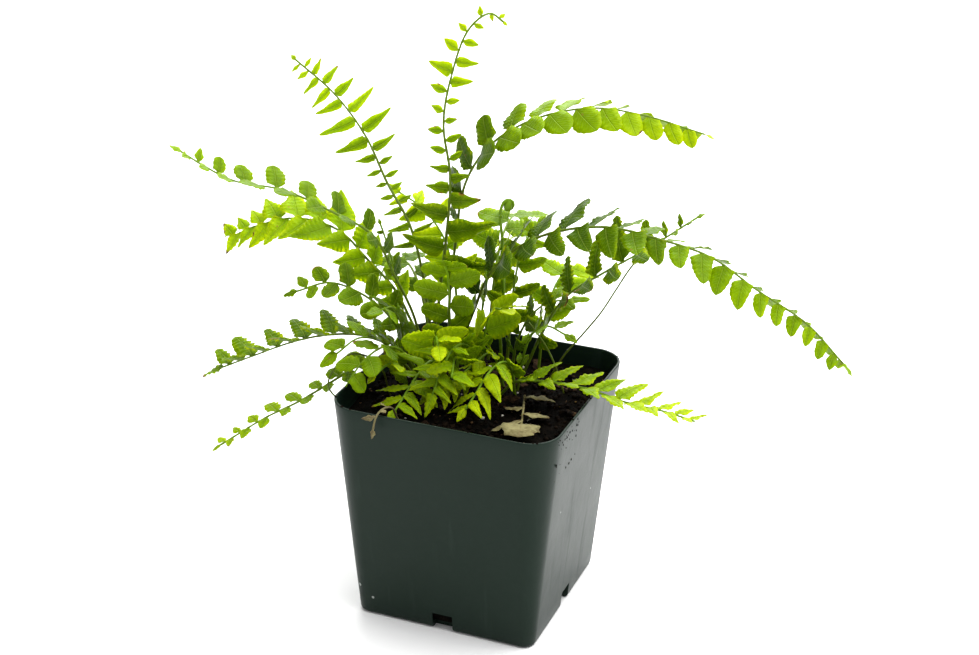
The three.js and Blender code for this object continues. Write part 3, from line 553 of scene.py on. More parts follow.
def makeSoil():
    s = soilShape
    inset = potShape["wall"] + s["gap"]
    rings = []
    low, high = potShape["floor"] + s["aboveFloor"], soilTop - s["sideBelowTop"]
    for z in np.linspace(low, high, s["sideRings"]):
        ring = []
        for corner in squareRing(z, inset):
            at = Vector([c * s["sideGrain"] for c in corner])
            pull = 1 - s["sidePull"] * (1 + noise.fractal(at, *s["sideFractal"]))
            ring.append((corner[0] * pull, corner[1] * pull, z))
        rings.append(ring)
    rim = squareRing(soilTop, inset + s["rimGap"])
    for k in range(s["rings"], 0, -1):
        share = k / s["rings"]
        rings.append([(x * share, y * share, soilHeight(x * share, y * share)) for x, y, _ in rim])
    points = [p for ring in rings for p in ring]
    meshPiece("soil_mix", points, loftFaces(len(rings), len(rim)), [soilMaterials["pottingMix"]],
              ("soil",))


makeSoil()

chipKinds = {  # height and width of each ring of corners, and the corners to a ring
    "grain": {"levels": ((-1, 0.0), (-0.5, 0.86), (0.5, 0.86), (1, 0.0)), "sides": 6},
    "chip": {"levels": ((-0.5, 0.55), (-0.3, 1.0), (0.3, 0.95), (0.5, 0.5)), "sides": 5},
}
chipUneven = {"turn": 0.3, "narrow": 0.8, "spread": 0.4, "height": 0.2}


def chipShape(rng, kind):  # one crumb's corner points and faces, about 1 across
    sides = chipKinds[kind]["sides"]
    points, faces, rings = [], [], []
    for z, width in chipKinds[kind]["levels"]:
        n = 1 if width == 0 else sides
        rings.append((len(points), n))
        for i in range(n):
            a = math.tau * i / n + chipUneven["turn"] * rng.random()
            w = width * (chipUneven["narrow"] + chipUneven["spread"] * rng.random())
            points.append((w * math.cos(a) / 2, w * math.sin(a) / 2,
                           (z + chipUneven["height"] * (rng.random() - 0.5)) / 2))
    for (a, n), (b, m) in zip(rings, rings[1:]):
        for i in range(sides):
            j = (i + 1) % sides
            if n == 1:
                faces.append((a, b + j, b + i))
            elif m == 1:
                faces.append((a + i, a + j, b))
            else:
                faces.append((a + i, a + j, b + j, b + i))
    if rings[0][1] > 1:
        last = rings[-1][0]
        faces += [tuple(range(sides - 1, -1, -1)), tuple(range(last, last + sides))]
    return np.array(points), faces


scatterKinds = {
    "soil_crumbs": {"count": 1500, "low": 0.9, "high": 3.0, "flat": 0.7, "long": 1.3,
                    "kind": "grain", "material": "soilCrumbs", "seed": 11},
    "bark_chips": {"count": 60, "low": 1.8, "high": 5.5, "flat": 0.28, "long": 2.0,
                   "kind": "chip", "material": "barkChips", "seed": 12},
    "white_grains": {"count": 34, "low": 0.8, "high": 2.6, "flat": 0.8, "long": 1.1,
                     "kind": "grain", "material": "whiteGrains", "seed": 13},
}
scatterRule = {"fromRim": 3.5, "fromWall": 1.2, "corner": 1.78, "smallness": 2.4, "tiltX": 0.5,
               "tiltY": 0.4, "raised": 0.22}


def scatter(name, kind):  # loose pieces half sunk in the soil
    rng, rule = random.Random(kind["seed"]), scatterRule
    reach = squareRing(soilTop, potShape["wall"] + rule["fromWall"])[0][0]
    limit = potShape["topWidth"] / 2 - rule["fromRim"]
    points, faces, placed = [], [], 0
    while placed < kind["count"]:
        x, y = rng.uniform(-limit, limit), rng.uniform(-limit, limit)
        if abs(x) + abs(y) > rule["corner"] * reach:
            continue
        size = kind["low"] + (kind["high"] - kind["low"]) * rng.random() ** rule["smallness"]
        shape, sides = chipShape(rng, kind["kind"])
        shape = shape * (size * kind["long"], size, size * kind["flat"])
        turn = (Matrix.Rotation(rng.uniform(0, math.tau), 3, "Z")
                @ Matrix.Rotation(rng.uniform(-rule["tiltX"], rule["tiltX"]), 3, "X")
                @ Matrix.Rotation(rng.uniform(-rule["tiltY"], rule["tiltY"]), 3, "Y"))
        lift = size * kind["flat"] * rule["raised"]
        gather(points, faces, shape @ np.array(turn).T + (x, y, soilHeight(x, y) + lift), sides)
        placed += 1
    material = soilMaterials[kind["material"]]
    meshPiece(name, points, faces, [material], flat=kind["kind"] == "chip")


for name, kind in scatterKinds.items():
    scatter(name, kind)

spatter = {
    "wallCount": 40, "rimCount": 26, "low": 0.35, "high": 1.1, "rimHigh": 1.7, "flat": 0.45,
    "long": 1.3, "narrow": 0.8, "back": -14.0, "front": -42.0, "lowest": 84.0, "belowRim": 1.5,
    "crowding": 1.6, "seed": 14,
}


def makeSpatter():  # specks of soil stuck to the right wall by the rim and lying on the rim
    s, rng = spatter, random.Random(spatter["seed"])
    top, half = potShape["height"], potShape["topWidth"] / 2
    slope = (half - potShape["bottomWidth"] / 2) / top
    ring = squareRing(top, potShape["wall"] / 2)
    points, faces = [], []
    for k in range(s["wallCount"] + s["rimCount"]):
        onWall = k < s["wallCount"]
        size = rng.uniform(s["low"], s["high"] if onWall else s["rimHigh"])
        shape, sides = chipShape(rng, "grain")
        if onWall:
            z = top - (top - s["lowest"]) * rng.random() ** s["crowding"] - s["belowRim"]
            at = (half - (top - z) * slope, rng.uniform(s["front"], s["back"]), z)
            shape = shape[:, (2, 0, 1)] * (size * s["flat"], size, size * s["long"])
        else:
            at = ring[rng.randrange(len(ring))]
            shape = shape * (size, size * s["narrow"], size * s["flat"])
        gather(points, faces, shape + at, sides)
    meshPiece("soil_spatter", points, faces, [soilMaterials["soilCrumbs"]])


makeSpatter()
print("soil made")

# The rules that the solids' fronds were made by, so that each rib and leaflet is found in them.
bladeShape = {"thickness": 0.7, "offRib": 0.5, "foot": 0.45, "footShare": 0.02, "smallBelow": 8}
ribShape = {"footRadius": 0.9, "tipRadius": 0.42, "taper": 1.25, "bareTip": 1.5, "sides": 8,
            "step": 1.6}
stray = {"length": 0.12, "width": 0.1, "lean": 6, "lift": 9, "twist": 8, "hook": 0.06, "sag": 0.1,
         "crease": 0.1}
bend = {"hook": 0.1, "sag": 0.12, "crease": 0.12}
tilt = 17  # degrees that each leaflet is turned about its midrib
lastLeaflet = {"longer": 1.1, "wide": 0.6, "start": 0.6, "hook": 0.05, "sag": 0.1, "crease": 0.1}
crowding = {"least": 0.54, "plain": 0.2, "bySize": 0.8}
leafSeeds = {"first": 1000, "step": 37}
tries = {"bows": (0, 2, -2, 4, -4, 6, -6, 8, -8, 11, -11, 14, -14),
         "tips": (0, 14, -14, 28, -28, 42, -42), "shrinks": (1, 0.82, 0.64), "match": 0.05}

# Each frond as in the solids: where it roots, the way its rib takes and the rule of its leaflets.
fronds = [
    {"name": "frond_tall_centre", "root": (-26, 12), "heading": 40, "tone": "bright",
     "path": [(1, 36), (4, 62), (6, 92), (3, 116), (6, 135), (14, 156), (23, 162), (29, 158)],
     "leaves": {"from": 0.3, "sizes": [22, 20, 10, 7, 6, 11, 5, 3], "wide": 0.64, "pitch": 8,
                "shape": "pointed", "lean": 6, "lift": (4, 4), "roll": (72, 72)}},
    {"name": "frond_high_right", "root": (-22, 17), "heading": 22, "tone": "deep",
     "path": [(0, 35), (2, 57), (7, 90), (18, 107), (36, 118), (60, 123), (82, 120), (108, 112)],
     "leaves": {"from": 0.36, "sizes": [15, 17, 16, 16, 15, 13, 11, 6], "wide": 0.78, "pitch": 6.2,
                "shape": "round", "lean": 20, "lift": (100, -50), "roll": (50, 0)}},
    {"name": "frond_long_right", "root": (-16, 8), "heading": 2, "tone": "deep",
     "path": [(3, 17), (9, 35), (16, 53), (27, 66), (43, 76), (67, 82), (89, 80), (112, 75),
              (131, 64), (153, 52), (169, 37)],
     "leaves": {"from": 0.18, "sizes": [16, 19, 20, 17, 13, 14, 11, 9, 7], "wide": 0.74,
                "pitch": 6.8, "shape": "oblong", "lean": 18, "lift": (42, -48), "roll": (34, 0)}},
    {"name": "frond_back_left", "root": (-29, 24), "heading": 156, "tone": "pale",
     "path": [(7, 15), (13, 42), (21, 61), (36, 77), (50, 95), (71, 110), (100, 121)],
     "leaves": {"from": 0.34, "sizes": [11, 10, 6, 8, 17, 15, 12, 8, 4], "wide": 0.42, "pitch": 6,
                "shape": "pointed", "lean": 0, "lift": (4, 4), "roll": (-10, -50)}},
    {"name": "frond_upper_left", "root": (-32, 16), "heading": 194, "tone": "bright",
     "path": [(7, 27), (15, 44), (24, 62), (44, 73), (64, 81), (86, 84), (99, 90), (109, 96)],
     "leaves": {"from": 0.3, "sizes": [9, 10, 13, 12, 12, 8, 6], "wide": 0.76, "pitch": 7.6,
                "shape": "round", "lean": 14, "lift": (24, 30), "roll": (-6, -10)}},
    {"name": "frond_pale_left", "root": (-31, 20), "heading": 180, "tone": "pale",
     "path": [(11, 20), (19, 34), (33, 47), (46, 58), (66, 61), (86, 55), (103, 46)],
     "leaves": {"from": 0.24, "sizes": [12, 15, 18, 19, 17, 14, 9], "wide": 0.74, "pitch": 5.6,
                "shape": "pointed", "lean": 26, "lift": (14, 12), "roll": (-30, -36)}},
    {"name": "frond_mid_left", "root": (-33, 9), "heading": 207, "tone": "mid",
     "path": [(12, 15), (27, 20), (43, 20), (57, 17), (71, 12), (87, 6)],
     "leaves": {"from": 0.18, "sizes": [9, 12, 16, 16, 14, 10], "wide": 0.66, "pitch": 6.4,
                "shape": "oblong", "lean": 12, "lift": (36, 36), "roll": (2, 2)}},
    {"name": "frond_low_left", "root": (-30, 1), "heading": 211, "tone": "mid",
     "path": [(6, 9), (15, 13), (24, 11), (41, 1), (53, -6), (68, -13), (88, -25)],
     "leaves": {"from": 0.26, "sizes": [9, 8, 9, 7, 5], "wide": 0.78, "pitch": 5.6,
                "shape": "round", "lean": 18, "lift": (14, 14), "roll": (-8, -8)}},
    {"name": "frond_low_right", "root": (10, 22), "heading": 18, "tone": "mid",
     "path": [(4, 9), (9, 22), (19, 40), (35, 52), (55, 65), (74, 79)],
     "leaves": {"from": 0.2, "sizes": [11, 16, 20, 19, 9, 4], "wide": 0.58, "pitch": 7,
                "shape": "oblong", "lean": 14, "lift": (30, 30), "roll": (20, 20)}},
    {"name": "frond_front_right", "root": (7, 2), "heading": 0, "tone": "pale",
     "path": [(8, 8), (23, 11), (41, 11), (59, 8), (76, 7), (89, 5)],
     "leaves": {"from": 0.14, "sizes": [12, 15, 16, 15, 12, 7], "wide": 0.56, "pitch": 5,
                "shape": "pointed", "lean": 30, "lift": (30, 24), "roll": (2, 4)}},
    {"name": "frond_front_left", "root": (-20, 1), "heading": 262, "tone": "bright",
     "path": [(2, 11), (8, 15), (17, 13), (27, 8), (36, 3)],
     "leaves": {"from": 0.22, "sizes": [12, 16, 18, 15, 10], "wide": 0.42, "pitch": 3.6,
                "shape": "pointed", "lean": 20, "lift": (6, -4), "roll": (0, 0)}},
    {"name": "frond_front_centre", "root": (6, 12), "heading": 238, "tone": "pale",
     "path": [(3, 14), (8, 18), (16, 15), (26, 10), (36, 7)],
     "leaves": {"from": 0.18, "sizes": [12, 16, 18, 16, 11], "wide": 0.42, "pitch": 3.6,
                "shape": "pointed", "lean": 30, "lift": (0, 0), "roll": (0, 0)}},
    {"name": "frond_young_left", "root": (-37, 13), "heading": 196, "tone": "mid",
     "path": [(5, 16), (14, 28), (25, 36), (38, 40), (53, 35)],
     "leaves": {"from": 0.26, "sizes": [10, 12, 12, 10, 7], "wide": 0.72, "pitch": 5.6,
                "shape": "round", "lean": 18, "lift": (14, 14), "roll": (-20, -30)}},
    {"name": "frond_gold_back", "root": (-23, 33), "heading": 165, "tone": "pale",
     "path": [(2, 22), (5, 42), (11, 57), (22, 67), (36, 72)],
     "leaves": {"from": 0.4, "sizes": [12, 14, 15, 13, 8], "wide": 0.66, "pitch": 6.6,
                "shape": "pointed", "lean": 20, "lift": (8, 8), "roll": (-30, -40)}},
    {"name": "frond_mid_back", "root": (-1, 34), "heading": 70, "tone": "mid",
     "path": [(2, 22), (5, 41), (10, 55), (20, 62)],
     "leaves": {"from": 0.34, "sizes": [11, 14, 13, 10, 6], "wide": 0.64, "pitch": 6.6,
                "shape": "oblong", "lean": 16, "lift": (8, 8), "roll": (40, 40)}},
    {"name": "frond_inner_front", "root": (-9, -4), "heading": 286, "tone": "bright",
     "path": [(2, 13), (7, 21), (14, 23), (23, 19)],
     "leaves": {"from": 0.22, "sizes": [12, 15, 15, 10], "wide": 0.7, "pitch": 5.4,
                "shape": "oblong", "lean": 18, "lift": (4, 4), "roll": (0, 0)}},
    {"name": "frond_inner_centre", "root": (-5, 13), "heading": 318, "tone": "pale",
     "path": [(2, 16), (5, 30), (11, 39), (20, 42)],
     "leaves": {"from": 0.24, "sizes": [12, 15, 15, 10], "wide": 0.7, "pitch": 5.4,
                "shape": "round", "lean": 18, "lift": (4, 4), "roll": (0, 0)}},
    {"name": "frond_inner_left", "root": (-27, -7), "heading": 236, "tone": "mid",
     "path": [(3, 13), (9, 22), (18, 25), (28, 20), (36, 11)],
     "leaves": {"from": 0.22, "sizes": [10, 12, 12, 9], "wide": 0.76, "pitch": 5.2,
                "shape": "round", "lean": 16, "lift": (6, 6), "roll": (-10, -16)}},
    {"name": "frond_inner_tall", "root": (-11, 22), "heading": 350, "tone": "bright",
     "path": [(2, 20), (4, 40), (8, 56), (16, 66)],
     "leaves": {"from": 0.26, "sizes": [11, 13, 12, 8], "wide": 0.66, "pitch": 6,
                "shape": "oblong", "lean": 16, "lift": (6, 6), "roll": (30, 30)}},
    {"name": "frond_inner_gold", "root": (-18, -10), "heading": 300, "tone": "pale",
     "path": [(1, 14), (4, 26), (10, 33), (18, 32)],
     "leaves": {"from": 0.26, "sizes": [11, 14, 14, 9], "wide": 0.7, "pitch": 5.2,
                "shape": "round", "lean": 16, "lift": (6, 6), "roll": (10, 10)}},
    {"name": "frond_inner_low", "root": (-37, 2), "heading": 262, "tone": "deep",
     "path": [(1, 16), (4, 30), (10, 38), (19, 40)],
     "leaves": {"from": 0.24, "sizes": [11, 14, 13, 9], "wide": 0.72, "pitch": 5.4,
                "shape": "oblong", "lean": 16, "lift": (6, 6), "roll": (-20, -20)}},
    {"name": "frond_inner_right", "root": (4, 27), "heading": 20, "tone": "mid",
     "path": [(2, 14), (7, 26), (15, 34), (26, 36)],
     "leaves": {"from": 0.22, "sizes": [9, 12, 11, 8], "wide": 0.66, "pitch": 5.8,
                "shape": "oblong", "lean": 16, "lift": (10, 10), "roll": (26, 26)}},
    {"name": "frond_back", "root": (-12, 39), "heading": 98, "tone": "mid",
     "path": [(4, 20), (12, 38), (26, 50), (46, 52), (66, 42), (80, 26)],
     "leaves": {"from": 0.26, "sizes": [12, 17, 18, 15, 10, 6], "wide": 0.62, "pitch": 9.2,
                "shape": "oblong", "lean": 18, "lift": (0, 0), "roll": (0, 0)}},
    {"name": "frond_back_right", "root": (13, 38), "heading": 82, "tone": "bright",
     "path": [(3, 16), (9, 29), (19, 37), (32, 37), (44, 29)],
     "leaves": {"from": 0.26, "sizes": [12, 16, 16, 13, 8], "wide": 0.64, "pitch": 7.6,
                "shape": "oblong", "lean": 18, "lift": (0, 0), "roll": (0, 0)}},
    {"name": "frond_back_low", "root": (-38, 32), "heading": 134, "tone": "deep",
     "path": [(4, 14), (12, 26), (26, 33), (46, 30), (64, 18), (76, 2)],
     "leaves": {"from": 0.24, "sizes": [11, 14, 15, 13, 9, 5], "wide": 0.66, "pitch": 8.8,
                "shape": "oblong", "lean": 18, "lift": (0, 0), "roll": (0, 0)}},
    {"name": "frond_unfurling", "root": (-37, 23), "heading": 190, "tone": "mid",
     "path": [(8, 13), (12, 34), (15, 46), (18, 57), (20, 64)],
     "leaves": {"from": 0.52, "sizes": [5, 7, 6, 3], "wide": 0.6, "pitch": 5.4,
                "shape": "oblong", "lean": 30, "lift": (20, 20), "roll": (-30, -50)}},
    {"name": "frond_crown_front", "root": (-2, 4), "heading": 258, "tone": "bright",
     "path": [(3, 17), (9, 25), (17, 26), (26, 20), (34, 11)],
     "leaves": {"from": 0.22, "sizes": [12, 16, 17, 14, 10], "wide": 0.42, "pitch": 3.8,
                "shape": "pointed", "lean": 24, "lift": (0, 0), "roll": (0, 0)}},
    {"name": "frond_crown_left", "root": (-33, -4), "heading": 222, "tone": "mid",
     "path": [(4, 14), (12, 23), (22, 26), (32, 20)],
     "leaves": {"from": 0.22, "sizes": [10, 12, 12, 9], "wide": 0.74, "pitch": 5.4,
                "shape": "round", "lean": 16, "lift": (10, 10), "roll": (-12, -18)}},
    {"name": "frond_crown_olive", "root": (-28, -14), "heading": 246, "tone": "pale",
     "path": [(2, 10), (6, 17), (12, 19), (19, 16)],
     "leaves": {"from": 0.24, "sizes": [9, 11, 11, 8], "wide": 0.7, "pitch": 5.2,
                "shape": "round", "lean": 16, "lift": (4, 4), "roll": (0, 0)}},
    {"name": "frond_crown_right", "root": (12, 14), "heading": 340, "tone": "mid",
     "path": [(3, 16), (8, 28), (16, 34), (26, 33)],
     "leaves": {"from": 0.24, "sizes": [8, 10, 10, 7], "wide": 0.66, "pitch": 5.8,
                "shape": "oblong", "lean": 16, "lift": (8, 8), "roll": (16, 16)}},
    {"name": "frond_crown_fan", "root": (14, 6), "heading": 254, "tone": "pale",
     "path": [(3, 13), (9, 19), (18, 18), (28, 11), (35, 6)],
     "leaves": {"from": 0.2, "sizes": [12, 16, 17, 15, 10], "wide": 0.42, "pitch": 3.8,
                "shape": "pointed", "lean": 28, "lift": (0, 0), "roll": (0, 0)}},
    {"name": "frond_crown_high", "root": (-14, -1), "heading": 284, "tone": "mid",
     "path": [(1, 26), (3, 44), (7, 57), (14, 64)],
     "leaves": {"from": 0.3, "sizes": [12, 15, 14, 9], "wide": 0.64, "pitch": 6,
                "shape": "round", "lean": 16, "lift": (4, 4), "roll": (10, 10)}},
    {"name": "crozier", "root": (3, 20), "heading": 35, "tone": "pale", "footRadius": 0.8,
     "path": [(-2, 22), (-1, 42), (-2, 66), (-3, 80), (-1, 84.5), (2, 84), (2.6, 81), (0.8, 79.8)]},
    {"name": "bare_stem_long", "root": (22, 22), "heading": 30, "tone": "dry", "footRadius": 0.55,
     "path": [(8, 13), (17, 24), (24, 33), (30, 43), (36, 53), (40, 58)]},
    {"name": "bare_stem_short", "root": (33, 16), "heading": 168, "tone": "dry", "footRadius": 0.55,
     "path": [(4, 10), (10, 20), (19, 29)]},
    {"name": "dead_leaf", "root": (19, 5), "heading": 288, "tone": "dry", "footRadius": 0.6,
     "path": [(5, 3.5), (14, 2.8), (25, 2.8), (34, 4)],
     "leaves": {"from": 0.26, "sizes": [15, 9, 15, 12], "wide": 0.7, "pitch": 8.6,
                "shape": "oblong", "lean": 6, "lift": (2, 2), "roll": (0, 0)}},
    {"name": "dry_scrap", "root": (-22, -37), "heading": 258, "tone": "dry", "footRadius": 0.6,
     "path": [(5, 8), (11, 10), (16, 8.4), (18.4, 3)],
     "leaves": {"from": 0.5, "sizes": [4, 6, 4], "wide": 0.42, "pitch": 5,
                "shape": "oblong", "lean": 24, "lift": (24, 24), "roll": (0, 0)}},
    {"name": "dry_stem", "root": (-37, -14), "heading": 214, "tone": "dry", "footRadius": 0.6,
     "path": [(3, 11), (9, 18), (17, 20), (24, 14), (27, 6), (23, 0), (19, 3)]},
]

# How each frond is dressed: its tone from foot to tip, 0 deep to 1 pale, partly the frond's own
# green and partly painted light, pale for the glow where light shines through thin blades and deep
# for the shade on blades lit from behind; how round its leaflets' tips are; how deep their margins
# are cut; how often one is browned; how pale its stem is. Some also have teeth to a millimetre, a
# curl of their margins, the stem's thickness at foot and tip, buds by their place, side and size, a
# head, the place where all are burnt from, and the width of side leaflets and of the last.
plainLook = {
    "deep": {"tone": (0.1, 0.4), "round": 0.45, "cut": 0.07, "harm": 0.1, "stem": 0.5},
    "mid": {"tone": (0.3, 0.5), "round": 0.5, "cut": 0.12, "harm": 0.12, "stem": 0.65},
    "bright": {"tone": (0.48, 0.76), "round": 0.4, "cut": 0.12, "harm": 0.08, "stem": 0.8},
    "pale": {"tone": (0.66, 0.94), "round": 0.3, "cut": 0.13, "harm": 0.05, "stem": 0.95},
    "dry": {"tone": (0.5, 0.5), "round": 0.7, "cut": 0.25, "harm": 0.2, "stem": 0.3},
}
anyLook = {"shape": "oblong", "teeth": 0.46, "curl": 1.0, "thick": (0.92, 1.05), "buds": (),
           "burntFrom": 2.0, "wide": (1.0, 1.0)}
ownLook = {
    "frond_tall_centre": {"tone": (0.2, 0.96), "round": 0.3, "cut": 0.05, "harm": 0.5, "stem": 0.5},
    "frond_high_right": {"tone": (0.06, 0.84), "round": 0.35, "cut": 0.07, "harm": 0.06,
                         "stem": 0.5},
    "frond_long_right": {"tone": (0.06, 0.66), "round": 0.3, "cut": 0.08, "harm": 0.04,
                         "stem": 0.5},
    "frond_back_left": {"tone": (0.3, 0.82), "round": 0.45, "cut": 0.08, "harm": 0.12, "stem": 0.5},
    "frond_upper_left": {"tone": (0.1, 0.6), "round": 0.6, "cut": 0.1, "harm": 0.04, "stem": 0.6},
    "frond_pale_left": {"tone": (0.6, 0.8), "round": 0.1, "cut": 0.12, "harm": 0.1, "stem": 0.8,
                        "burntFrom": 0.93},
    "frond_mid_left": {"tone": (0.2, 0.42), "round": 0.85, "cut": 0.24, "harm": 0.25, "stem": 0.5,
                       "burntFrom": 0.95},
    "frond_low_left": {"tone": (0.4, 0.82), "round": 0.6, "cut": 0.16, "harm": 0.3, "stem": 0.6,
                       "burntFrom": 0.9},
    "frond_low_right": {"tone": (0.26, 0.44), "round": 0.75, "cut": 0.22, "harm": 0.05,
                        "stem": 0.6},
    "frond_young_left": {"tone": (0.2, 0.44), "round": 0.7, "cut": 0.1, "harm": 0.1, "stem": 0.6},
    "crozier": {"tone": (0.5, 0.5), "stem": 0.95, "thick": (0.9, 1.9),
                "head": {"coil": 14.0, "points": 24, "size": 7.5, "below": 0.4,
                         "way": (0.05, 0.1, 1.0)},
                "buds": ((0.8, 1, 3.6), (0.84, -1, 3.0), (0.74, -1, 3.4), (0.5, 1, 2.2))},
    "dead_leaf": {"tone": (0.8, 0.8), "round": 1.0, "cut": 0.08, "teeth": 0.2, "harm": 0.2,
                  "stem": 0.6, "curl": 1.5, "wide": (1.3, 2.3)},
    "dry_scrap": {"tone": (0.5, 0.5), "round": 0.3, "cut": 0.3, "harm": 0.9, "stem": 0.3,
                  "curl": 4.0},
}


curveRule = {"marks": 401, "near": 1e-4}


def throughPoints(points):  # a curve through points: its length, its places and its directions
    pts = np.array(points, float)
    n = len(pts)
    ext = np.vstack([2 * pts[0] - pts[1], pts, 2 * pts[-1] - pts[-2]])

    def at(t):  # centripetal, so that it doesn't loop where the points crowd
        t = np.clip(np.atleast_1d(t), 0, 1) * (n - 1)
        k = np.minimum(t.astype(int), n - 2)
        w = (t - k)[:, None]
        p = [ext[k + j] for j in range(4)]
        d = [(((p[j + 1] - p[j]) ** 2).sum(1) ** 0.25)[:, None] for j in range(3)]
        a = ((p[1] - p[0]) / d[0] - (p[2] - p[0]) / (d[0] + d[1]) + (p[2] - p[1]) / d[1]) * d[1]
        b = ((p[2] - p[1]) / d[1] - (p[3] - p[1]) / (d[1] + d[2]) + (p[3] - p[2]) / d[2]) * d[1]
        c2 = -3 * p[1] + 3 * p[2] - 2 * a - b
        c3 = 2 * p[1] - 2 * p[2] + a + b
        return p[1] + a * w + c2 * w ** 2 + c3 * w ** 3

    marks, near = np.linspace(0, 1, curveRule["marks"]), curveRule["near"]
    steps = np.linalg.norm(np.diff(at(marks), axis=0), axis=1)
    lengths = np.concatenate([[0], np.cumsum(steps)])

    def byLength(share):
        return np.interp(np.atleast_1d(share) * lengths[-1], lengths, marks)

    def tangent(share):
        t = byLength(share)
        way = at(np.minimum(t + near, 1)) - at(np.maximum(t - near, 0))
        return way / np.linalg.norm(way, axis=1)[:, None]
    return lengths[-1], (lambda share: at(byLength(share))), tangent


def ribOf(frond, aside):  # the rib's length, and its frame at any lengths along it
    h = math.radians(frond["heading"])
    out, across = np.array([math.cos(h), math.sin(h), 0]), np.array([-math.sin(h), math.cos(h), 0])
    x, y = frond["root"]
    foot = np.array([x, y, soilTop - soilShape["bump"] + lump(x, y)])
    steps = len(frond["path"]) + 1
    passes = [np.array([x, y, soilTop + up]) + out * along
              + across * aside * math.sin(math.pi * (k + 1) / steps)
              for k, (along, up) in enumerate(frond["path"])]
    start = unit(passes[0] - foot)
    low, straight = foot - start * soilShape["stemDepth"], foot + start * soilShape["stemStraight"]
    length, place, tangent = throughPoints([low, foot, straight, *passes])
    rollFoot, rollTip = frond["leaves"]["roll"] if "leaves" in frond else (0, 0)
    footRadius = frond.get("footRadius", ribShape["footRadius"])

    def frameAt(s):
        t = np.clip(np.atleast_1d(s) / length, 0, 1)
        forward = tangent(t)
        side = across - forward * (forward @ across)[:, None]
        side /= np.linalg.norm(side, axis=1)[:, None]
        face = np.cross(forward, side)
        roll = np.radians(rollFoot + (rollTip - rollFoot) * t)[:, None]
        thin = np.minimum(1, t * ribShape["taper"])
        return {"at": place(t), "forward": forward,
                "side": side * np.cos(roll) + face * np.sin(roll),
                "face": face * np.cos(roll) - side * np.sin(roll),
                "radius": footRadius + (ribShape["tipRadius"] - footRadius) * thin}
    return length, frameAt


def oneOf(frames):  # the first of a set of frames
    return {label: values[0] for label, values in frames.items()}


def sizeAt(sizes, q):
    k = min(int(q * (len(sizes) - 1)), len(sizes) - 2)
    return sizes[k] + (sizes[k + 1] - sizes[k]) * (q * (len(sizes) - 1) - k)


def leafletsOf(frond, index, length):  # the solids' leaflets, before any was bent clear
    if "leaves" not in frond:
        return []
    leaves, draw = frond["leaves"], drawsFrom(leafSeeds["first"] + leafSeeds["step"] * index)
    longest = max(leaves["sizes"])
    begin = soilShape["stemDepth"] + leaves["from"] * (length - soilShape["stemDepth"])
    found, side, s = [], 1 if index % 2 else -1, begin
    while s < length - ribShape["bareTip"]:
        size = sizeAt(leaves["sizes"], (s - begin) / (length - begin))
        leaf = {"s": s, "side": side, "length": size * (1 + stray["length"] * draw())}
        leaf["width"] = leaf["length"] * leaves["wide"] * (1 + stray["width"] * draw())
        leaf["lean"] = leaves["lean"] + stray["lean"] * draw()
        foot, tip = leaves["lift"]
        leaf["lift"] = foot + (tip - foot) * s / length + stray["lift"] * draw()
        leaf["twist"] = tilt + stray["twist"] * draw()
        for label in bend:
            leaf[label] = bend[label] + stray[label] * draw()
        found.append(leaf)
        crowd = crowding["plain"] + crowding["bySize"] * size / longest
        s += leaves["pitch"] * max(crowding["least"], crowd)
        side = -side
    last = leaves["sizes"][-1] * lastLeaflet["longer"]
    found.append({"s": length - lastLeaflet["start"], "side": 0, "length": last,
                  "width": last * lastLeaflet["wide"], "lean": 90, "lift": 0, "twist": 0,
                  **{label: lastLeaflet[label] for label in bend}})
    return found


def leafletFrame(leaf, at, tip, size):  # directions and sizes of one leaflet's blade
    lift, lean, twist = (math.radians(v) for v in (leaf["lift"] + tip, leaf["lean"], leaf["twist"]))
    turn = leaf["side"] or 1
    out = at["side"] * turn * math.cos(lift) + at["face"] * math.sin(lift)
    up = at["face"] * math.cos(lift) - at["side"] * turn * math.sin(lift)
    axis = out * math.cos(lean) + at["forward"] * math.sin(lean)
    across = at["forward"] * math.cos(lean) - out * math.sin(lean)
    return {**leaf, "at": at["at"], "radius": at["radius"], "axis": axis, "turn": turn,
            "out": out if leaf["side"] else at["forward"],
            "across": across * math.cos(twist) + up * math.sin(twist),
            "face": up * math.cos(twist) - across * math.sin(twist),
            "length": leaf["length"] * size, "width": leaf["width"] * size}


def bladePoints(leaf, u, v, halfShare, clear):  # the blade's middle surface; v -1 to 1 across
    u, v = np.atleast_1d(u)[:, None], np.atleast_1d(v)[:, None]
    shift = v * np.atleast_1d(halfShare)[:, None]
    p = leaf["axis"] * u * leaf["length"]
    p = p + leaf["across"] * (shift * leaf["width"] / 2 + leaf["hook"] * leaf["length"] * u ** 2)
    p = p + leaf["face"] * (leaf["crease"] * abs(shift) * leaf["width"] / 2
                            - leaf["sag"] * leaf["length"] * u ** 2)
    short = np.maximum(0, leaf["radius"] + clear - p @ leaf["out"])[:, None]
    return p + leaf["out"] * short + leaf["at"]


